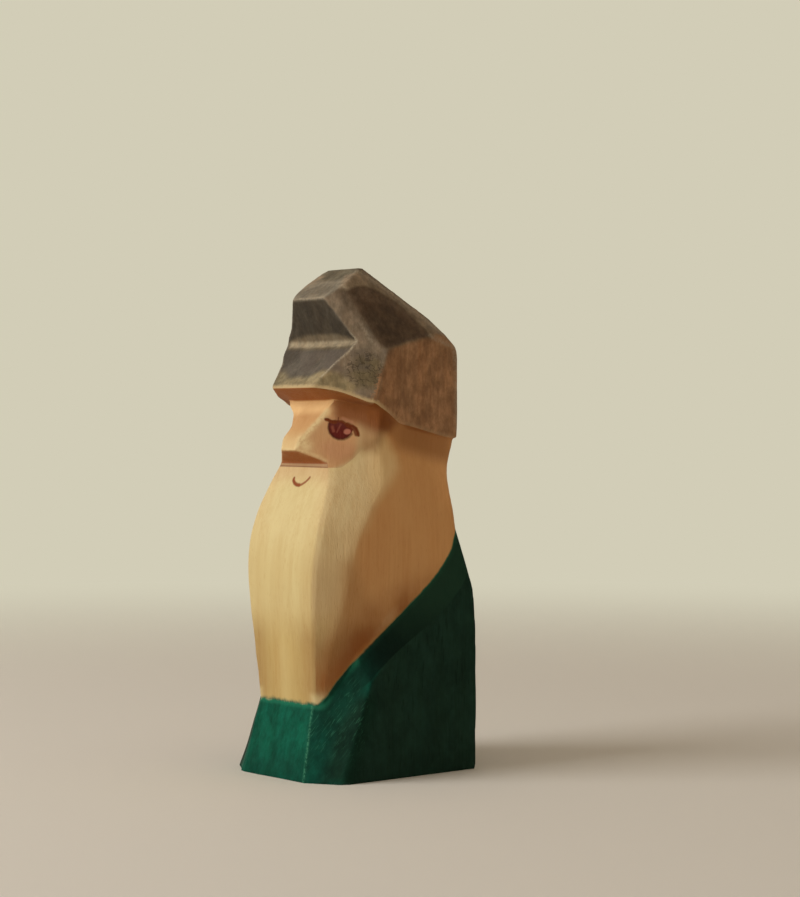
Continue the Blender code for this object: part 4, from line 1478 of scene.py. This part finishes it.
@dataclass
class Hat(Form):
    """The hat: brim, front groove, temple and crown facets, back slope."""

    zone: Zone = Zone.HAT
    # Stain rubbed thin gives each facet its own grey and pale lines on the arrises, and facets that
    # face down are darkened as painted shade
    finish: WoodFinish = GreyStain("grey_stained_maple", 0.58)
    half_width: float = 11.3
    height: float = 75.0
    brim: SidePoint = (-10.2, 57.0)
    groove: SidePoint = (-4.4, 63.85)
    crown_edge: SidePoint = (-7.35, 70.3)
    crest: SidePoint = (-0.35, 75.2)
    back: SidePoints = ((12.7, 63.6), (12.72, 56.0), (12.6, 52.5), (12.25, 49.6))
    under: SidePoints = (
        (10.3, 49.75), (7.9, 50.25), (3.6, 51.2), (1.4, 51.4),
        (-1.0, 50.6), (-6.0, 50.6), (-10.4, 56.0))
    brow: SidePoint = (-6.3, 55.05)
    temple: Points = ((5.0, -10.15, 57.2), (8.05, -4.4, 63.9), (3.85, -7.15, 70.3))
    under_temple: Points = ((5.2, -9.9, 57.05), (11.0, -4.4, 55.0), (6.5, -5.3, 54.9))
    crown_side: Points = ((4.1, -0.4, 75.0), (11.3, -1.9, 62.4), (11.3, 7.1, 64.83))
    bevel: SidePoint = (-10.25, 57.35)
    crest_back: SidePoint = (0.1, 75.2)
    worn_band: Blunt = ((7.62, -3.4, 67.8), (0.80, -0.42, 0.38), 0.08)
    worn_ridge: Blunt = ((5.5, -0.28, 72.87), (0.75, 0.08, 0.655), 0.0)
    blunts: tuple[Blunt, ...] = (
        ((0.0, 12.7, 63.6), (0.0, 0.92, 0.39), 0.75), ((0.0, 12.7, 63.6), (0.0, 0.8, 0.6), 0.45),
        ((11.3, 12.7, 56.0), (1.0, 1.0, 0.0), 0.35),
        ((11.1, 11.0, 64.65), (0.35, 0.62, 0.70), 0.3))
    patches: tuple[Patch, ...] = (
        Patch(((-1.0, -3.4, 73.1), (3.9, -3.2, 73.1), (4.4, -0.6, 75.0), (-1.0, -0.3, 75.0)),
              "#695f4c", 0.7),
        Patch(((-1.0, -4.9, 65.1), (4.0, -4.9, 65.0), (6.9, -4.7, 64.4), (8.0, -4.5, 63.9),
               (7.4, -5.25, 62.75), (-1.0, -5.2, 62.75)), "#6f624e", 0.35),
        Patch(((-1.0, -4.7, 64.1), (7.0, -4.6, 64.1), (7.8, -4.5, 63.8), (7.3, -5.0, 63.2),
               (-1.0, -5.0, 63.15)), "#9b8c72", 0.3),
        Patch(((-1.0, -9.2, 58.6), (2.5, -9.2, 58.6), (4.6, -8.3, 59.7), (6.3, -7.8, 59.6),
               (8.0, -6.4, 58.5), (9.6, -5.4, 57.2), (8.8, -6.35, 56.2), (5.7, -9.5, 56.8),
               (-1.0, -10.3, 56.8)), "#948463", 0.6),
        Patch(((-1.0, -9.8, 57.9), (4.8, -9.4, 57.9), (6.6, -8.1, 57.8), (8.2, -6.8, 57.1),
               (8.0, -6.9, 56.3), (5.66, -9.45, 56.8), (-1.0, -10.3, 56.8)), "#cbb48a", 0.5),
        Patch(((9.0, -4.9, 61.8), (11.1, -2.3, 61.4), (11.27, -2.9, 56.8), (9.6, -5.1, 57.0),
               (8.4, -6.2, 59.0)), "#706248", 0.9),
        Patch(((2.5, -2.3, 73.9), (4.6, -1.3, 74.1), (5.5, -0.5, 72.7), (5.7, -2.4, 72.0),
               (5.5, -4.1, 71.4), (4.7, -4.9, 72.0)), "#95826a", 0.5, 0.9),
        Patch(((4.5, -6.4, 69.1), (5.25, -5.8, 68.0), (6.2, -5.3, 66.5), (7.2, -4.8, 65.1),
               (7.7, -4.5, 64.4), (6.7, -4.9, 65.3), (5.6, -5.6, 67.0), (4.9, -6.0, 68.1)),
              "#534b41", 0.2, 0.9, 1.0),
        Patch(((5.4, -4.3, 71.2), (5.85, -4.0, 70.3), (6.4, -3.75, 69.2),
               (7.1, -3.4, 68.1), (7.9, -3.0, 67.0), (8.85, -2.65, 65.6),
               (9.6, -2.35, 64.5), (10.2, -1.95, 63.6), (10.85, -1.4, 62.9),
               (11.15, -0.7, 63.0), (11.2, 1.1, 63.55), (11.2, 3.45, 64.25),
               (11.3, 5.91, 64.6), (11.31, 7.07, 64.72), (10.53, 6.37, 66.03),
               (9.57, 5.23, 67.29), (8.04, 3.99, 69.39), (7.21, 2.55, 70.49),
               (6.42, 1.08, 71.44), (5.7, -0.82, 72.21), (5.4, -2.4, 72.1)), "#5f4d3c", 0.3),
        Patch(((6.5, -3.3, 69.8), (7.64, -2.9, 67.91), (8.5, -2.5, 66.3), (10.0, -1.9, 63.9),
               (10.9, -1.2, 63.1), (11.2, 1.1, 63.7), (11.2, 3.45, 64.4), (11.2, 5.5, 64.8),
               (10.3, 5.4, 66.0), (9.2, 4.2, 67.5), (7.6, 1.6, 69.7)), "#524131", 0.55))
    rubbed: tuple[RubbedLine, ...] = (
        RubbedLine(((1.95, -7.1, 70.5), (3.66, -6.8, 70.4), (4.48, -6.3, 69.26),
                    (5.25, -5.9, 68.06), (6.16, -5.4, 66.57), (7.02, -4.93, 65.31),
                    (7.95, -4.4, 63.96)), 0.12, 0.9),
        RubbedLine(((7.95, -4.4, 63.96), (7.58, -5.42, 62.42), (6.36, -7.21, 60.66),
                    (5.43, -8.95, 58.69)), 0.16),
        RubbedLine(((-1.0, -7.3, 70.4), (3.5, -7.2, 70.4)), 0.32, 0.6),
        RubbedLine(((4.62, -4.61, 72.18), (5.08, -4.32, 71.95)), 0.28, 0.9),
        RubbedLine(((4.22, -1.02, 74.43), (5.57, 1.97, 72.48), (7.26, 4.45, 70.26),
                    (9.12, 6.79, 67.88), (10.71, 8.97, 65.8), (11.0, 11.6, 64.0)), 0.5, 0.55),
        RubbedLine(((11.2, 11.8, 63.0), (11.2, 12.3, 60.0), (11.2, 12.3, 51.0)), 0.5, 0.65),
        RubbedLine(((8.0, -3.6, 66.4), (9.1, -3.1, 64.4), (10.2, -2.4, 63.1),
                    (11.1, -1.8, 62.3), (11.2, -2.2, 60.6)), 0.3, 0.35),
        RubbedLine(((11.25, 6.9, 64.9), (11.3, 8.85, 64.13), (11.3, 12.0, 63.2)), 0.4, 0.5))

    def facets(self) -> list[Facet]:
        """Return the hat's facets, each with the depth of its grey stain; the facet above the
        groove and the brim's underside, which face down, are also darker as painted shade.
        """
        return [Facet.of_profile(self.brim, self.groove, "#62594d"),
                Facet.of_profile(self.groove, self.crown_edge, "#443c31"),
                Facet.of_profile(self.crown_edge, self.crest, "#817664"),
                Facet((0.0, 0.0, 1.0), "#7d705b", (0.0, 0.0, self.height)),
                Facet.of_corners(self.temple, "#887762"),
                Facet(self.worn_band[1], "#665748", self.worn_band[0]),
                Facet.of_corners(self.crown_side, "#7b6a53"),
                Facet(self.worn_ridge[1], "#8a7864", self.worn_ridge[0]),
                Facet((1.0, 0.0, 0.0), "#9f7654", (self.half_width, 0.0, 0.0)),
                Facet((0.0, 0.67, 0.745), "#85745f", (0.0, *self.back[0])),
                Facet((0.0, 1.0, 0.0), "#93745a", (0.0, self.back[0][0], 0.0)),
                Facet((0.0, -0.46, -0.89), "#9c6135", (0.0, *self.brim))]

    def carve(self) -> Mesh:
        """Pare the hat: under the brim, temples, crown sides and worn ridges.

        Returns:
            The closed solid.
        """
        bm = sawn_plank([*self.under, self.brim, self.bevel, self.groove, self.crown_edge,
                         self.crest, self.crest_back, *self.back], self.half_width)
        pare_across(bm, self.brow, self.brim)
        for corners in (self.under_temple, self.temple, self.crown_side):
            pare_sides(bm, corners[0], facing(corners))
        for at, outward, depth in (self.worn_band, self.worn_ridge, *self.blunts):
            pare_sides(bm, at, outward, depth)
        pare(bm, mm(0.0, 0.0, self.height), Vector((0.0, 0.0, 1.0)))
        return into_mesh(bm, "hat_block")


# The carved block

@dataclass(frozen=True)
class Scoop:
    """A shallow hollow on the figure's right only; a negative depth is a swelling."""

    height: float
    half_height: float
    depth: float
    x_range: tuple[float, float]
    y_range: tuple[float, float] = (-1.0, 2.0)
    inward: tuple[float, float] = (0.643, 0.766)

    def press(self, places: np.ndarray) -> np.ndarray:
        """Press places inward inside the hollow.

        Args:
            places: The places in millimetres.

        Returns:
            The pressed places.
        """
        x, y, z = places.T
        (outer, inner), (front, rear) = self.x_range, self.y_range
        share = (np.exp(-((z - self.height) / self.half_height) ** 4)
                 * np.clip((inner - x) / (inner - outer), 0.0, 1.0)
                 * np.clip((rear - y) / (rear - front), 0.0, 1.0))
        pressed = places.copy()
        for axis, part in enumerate(self.inward):
            pressed[:, axis] += self.depth * part * share
        return pressed


@dataclass
class CarvedBlock:
    """The whole figure in one block, and its parting into stain zones."""

    grain: float = 0.21
    grain_quick: float = 0.34
    softening: int = 2
    softness: float = 0.55
    blending: int = 30
    blend_rate: float = 0.5
    waver: tuple[tuple[float, float], ...] = ((7.0, 0.085), (2.6, 0.035), (1.1, 0.012))
    waver_stretch: float = 1.3
    flat_foot: float = 0.12
    sharp_angle: float = 62.0
    sharp_seam: float = 0.03
    cutter_reach: float = 20.0
    seams: Seams = Seams()
    scoops: tuple[Scoop, ...] = (
        Scoop(52.1, 2.1, 0.97, (-3.2, -1.0)), Scoop(6.5, 8.5, 0.85, (-8.6, -6.4)),
        Scoop(55.1, 1.3, 0.6, (-10.0, -8.0)), Scoop(63.4, 2.2, -0.42, (-6.5, -3.0)))
    blends: tuple[tuple[Point, float], ...] = (
        ((10.2, -3.2, 48.6), 2.2), ((9.4, -4.2, 47.2), 1.9), ((10.6, -2.2, 53.6), 1.6),
        ((8.3, -5.5, 46.5), 1.8), ((9.5, -3.8, 53.0), 1.3), ((9.5, -3.9, 51.4), 1.3),
        ((9.5, -4.0, 49.9), 1.3))
    mesh: Mesh | None = None
    normals: np.ndarray | None = None

    def join(self, meshes: list[Mesh]) -> None:
        """Fuse the roughed-out solids into one closed skin.

        Args:
            meshes: The closed solids, overlapping each other.
        """
        bm = bmesh.new()
        for mesh in meshes:
            bm.from_mesh(mesh)
        size = self.grain * MM
        skin = {"mode": "VOXEL", "voxel_size": size, "use_smooth_shade": True}
        self.mesh = worked("carved_block", into_mesh(bm, "block", False), ("REMESH", skin))

    def finish_surface(self) -> None:
        """Soften the arrises, press in the hollows and add the knife's waver."""
        mesh = self.mesh
        count = len(mesh.vertices)
        places = read_values(mesh.vertices, "co", 3) / MM
        ends = read_values(mesh.edges, "vertices", 2, int)
        degree = np.bincount(ends.ravel(), minlength=count).astype(float)[:, None]

        def eased_by(rate: float | np.ndarray) -> np.ndarray:
            """Move each place towards the mean of its neighbours.

            Args:
                rate: The share of the way that it goes.

            Returns:
                The moved places.
            """
            total = np.zeros_like(places)
            for here, there in (ends.T, ends.T[::-1]):
                for axis in range(3):
                    total[:, axis] += np.bincount(here, places[there, axis], count)
            return places + rate * (total / degree - places)

        for _ in range(self.softening):
            places = eased_by(self.softness)
        for scoop in self.scoops:
            places = scoop.press(places)
        left = np.abs(places) * (1, 0, 0) + places * (0, 1, 1)
        blended = np.zeros((count, 1))
        for centre, radius in self.blends:
            gap = ((left - centre) ** 2).sum(axis=1, keepdims=True)
            blended = np.maximum(blended, np.exp(-gap / radius ** 2))
        for _ in range(self.blending):
            places = eased_by(self.blend_rate * blended)
        move_vertices(mesh, places)
        self.normals = read_values(mesh.vertex_normals, "vector", 3)
        lift = np.zeros(count)
        for size, height in self.waver:
            scaled = places / (size, size, size * self.waver_stretch)
            lift += height * np.array([noise.noise(Vector(place)) for place in scaled])
        places += self.normals * lift[:, None]
        low, high = (np.array(corner) / MM for corner in CAD_BOX)
        places = np.clip(places, low, high)
        places[places[:, 2] < self.flat_foot, 2] = 0.0
        move_vertices(mesh, places)
        log.info("block: %d vertices, %d faces", count, len(mesh.polygons))

    def part(self, form: Form) -> Object:
        """Cut one zone's piece from the block.

        Args:
            form: The zone's part of the carving.

        Returns:
            The closed piece, with its seam distances and its colours of stain and painted light and
            shade.
        """
        node = form.zone.node
        cuts = [cut(operation, sawn_plank(outline, self.cutter_reach))
                for operation, outline in self.seams.parting(form.zone)]
        mesh = worked(node + "_mesh", self.mesh.copy(), *cuts)
        self.carry_over(mesh, form)
        return place_object(node + "_carved", mesh)

    def carry_over(self, mesh: Mesh, form: Form) -> None:
        """Give a parted mesh its seam distances, its colours of stain and painted light and shade,
        and its sharp seams.

        Args:
            mesh: The parted mesh.
            form: The zone's part of the carving.
        """
        tree = kdtree.KDTree(len(self.mesh.vertices))
        for vertex in self.mesh.vertices:
            tree.insert(vertex.co, vertex.index)
        tree.balance()
        nearest = np.array([tree.find(vertex.co)[1] for vertex in mesh.vertices])
        places = read_values(mesh.vertices, "co", 3) / MM
        tint, rub = form.stain(places, self.normals[nearest])
        beyond = self.seams.distances(places)
        for name, values in {"rubbed": rub, **beyond, "tint": tint}.items():
            write_layer(mesh, name, values)
        mesh.set_sharp_from_angle(angle=math.radians(self.sharp_angle))
        gap = np.min([np.abs(beyond[name]) for name in ("collar", "brim", "cheek")], axis=0)
        ends = read_values(mesh.edges, "vertices", 2, int)
        layer = mesh.attributes["sharp_edge"].data
        sharp = read_values(layer, "value", 1, bool)[:, 0]
        sharp |= (gap[ends] < self.sharp_seam).all(axis=1)
        layer.foreach_set("value", sharp)


# Studio

@dataclass
class Studio:
    """Pale floor and backdrop in one sweep, soft light from one side, camera.

    The sizes of floor and backdrop are in metres.
    """

    camera_at: Point = (264.31, -211.24, 51.0)
    azimuth: float = 50.0
    pitch: float = -0.4974
    lens: float = 90.14
    floor_colour: str = "#e8e3d8"
    backdrop_colour: str = "#d2cdb7"
    key_at: Point = (-214.0, -551.0, 330.0)
    key_size: tuple[float, float] = (420.0, 420.0)
    key_power: float = 2.9
    fill_colour: str = "#ffeedd"
    fill_strength: float = 0.42
    aim: Point = (0.0, 0.0, 38.0)
    floor_radius: float = 0.6
    bend_radius: float = 0.4
    wall_heights: tuple[float, float] = (0.8, 1.2)
    plain_from: tuple[float, float] = (0.10, 0.42)
    sectors: int = 96
    matt: float = 0.9
    clip: tuple[float, float] = (0.01, 50.0)

    def build(self) -> None:
        """Set up floor, light and camera."""
        self.add_backdrop()
        self.add_lights()
        self.add_camera()

    def add_backdrop(self) -> None:
        """Sweep the floor up into a round backdrop, like a bowl of painted board.

        The bowl shows its plain colour to the camera far from the figure. Near
        the figure the floor takes light and shadow as it is.
        """
        floor, bend = self.floor_radius, self.bend_radius
        profile = [(floor * share, 0.0) for share in np.linspace(0.0, 1.0, 5)]
        profile += [(floor + bend * math.sin(turn), bend - bend * math.cos(turn))
                    for turn in np.linspace(0.15, math.pi / 2, 10)]
        profile += [(floor + bend, height) for height in self.wall_heights]
        bm = bmesh.new()
        chain = [bm.verts.new((x, 0.0, z)) for x, z in profile]
        edges = [bm.edges.new(pair) for pair in zip(chain, chain[1:])]
        bmesh.ops.spin(bm, geom=chain + edges, cent=(0, 0, 0), axis=(0, 0, 1),
                       angle=2 * math.pi, steps=self.sectors, use_merge=True)
        bmesh.ops.remove_doubles(bm, verts=bm.verts, dist=1e-5)
        bmesh.ops.recalc_face_normals(bm, faces=bm.faces)
        bmesh.ops.reverse_faces(bm, faces=bm.faces)
        for face in bm.faces:
            face.smooth = True
        mesh = into_mesh(bm, "backdrop", False)
        mesh.materials.append(self.board_paint())
        bowl = place_object("backdrop", mesh)
        bowl.visible_shadow = False

    def board_paint(self) -> bpy.types.Material:
        """Mix matt paint that stays plain where the floor leaves the figure.

        Returns:
            The material.
        """
        paint = bpy.data.materials.new("matt_board_paint")
        paint.use_nodes = True
        tree = paint.node_tree
        shader = tree.nodes["Principled BSDF"]
        shader.inputs["Base Color"].default_value = linear(self.floor_colour)
        shader.inputs["Roughness"].default_value = self.matt
        node = partial(add_node, tree)
        away = node("VectorMath", node("TexCoord", out="Object"), operation="LENGTH")
        rays = node("LightPath").node.outputs
        seen = node("Math", rays["Is Camera Ray"], rays["Is Glossy Ray"],
                    rays["Is Transmission Ray"], operation="MAXIMUM")
        share = node("Math", node("MapRange", away, *self.plain_from), seen)
        plain = node("Emission", self.backdrop_colour, 1.0)
        blend = node("MixShader", share, shader.outputs[0], plain)
        tree.links.new(blend, tree.nodes["Material Output"].inputs["Surface"])
        return paint

    def add_lights(self) -> None:
        """Hang a soft window light at the figure's right and set a low ambience."""
        key = bpy.data.lights.new("window_light", "AREA")
        key.shape = "RECTANGLE"
        key.size, key.size_y = (side * MM for side in self.key_size)
        key.energy = self.key_power
        self.hang("window_light", key, self.key_at, mm(*self.aim) - mm(*self.key_at))
        world = bpy.data.worlds.new("ambience")
        world.use_nodes = True
        sky = world.node_tree.nodes["Background"]
        sky.inputs["Color"].default_value = linear(self.fill_colour)
        sky.inputs["Strength"].default_value = self.fill_strength
        bpy.context.scene.world = world

    def add_camera(self) -> None:
        """Place the camera at the photograph's viewing angle."""
        data = bpy.data.cameras.new("camera")
        data.lens = self.lens
        data.clip_start, data.clip_end = self.clip
        turn, tilt = math.radians(self.azimuth), math.radians(self.pitch)
        ahead = Vector((-math.sin(turn) * math.cos(tilt), math.cos(turn) * math.cos(tilt),
                        math.sin(tilt)))
        bpy.context.scene.camera = self.hang("camera", data, self.camera_at, ahead)

    def hang(self, name: str, data: bpy.types.ID, at: Point, ahead: Vector) -> Object:
        """Place a light or camera and turn it.

        Args:
            name: Its name.
            data: The light or camera.
            at: Where it hangs, in millimetres.
            ahead: The way in which it looks.

        Returns:
            The object.
        """
        obj = place_object(name, data)
        obj.location = mm(*at)
        obj.rotation_mode = "QUATERNION"
        obj.rotation_quaternion = ahead.to_track_quat("-Z", "Y")
        return obj


def main() -> None:
    """Carve the figure, part it, dress it and set up the studio."""
    bpy.context.scene.view_settings.view_transform = "Standard"
    coat, beard, face, hat = Coat(), Beard(), Face(), Hat()
    block = CarvedBlock()
    block.join([form.carve() for form in (coat, beard, face, hat)])
    block.finish_surface()
    for form in (coat, hat, face, beard):
        piece = block.part(form)
        form.dress(piece)
        log.info("%s: %d triangles", piece.name,
                 sum(len(p.vertices) - 2 for p in piece.data.polygons))
    Studio().build()


if __name__ == "__main__":
    main()
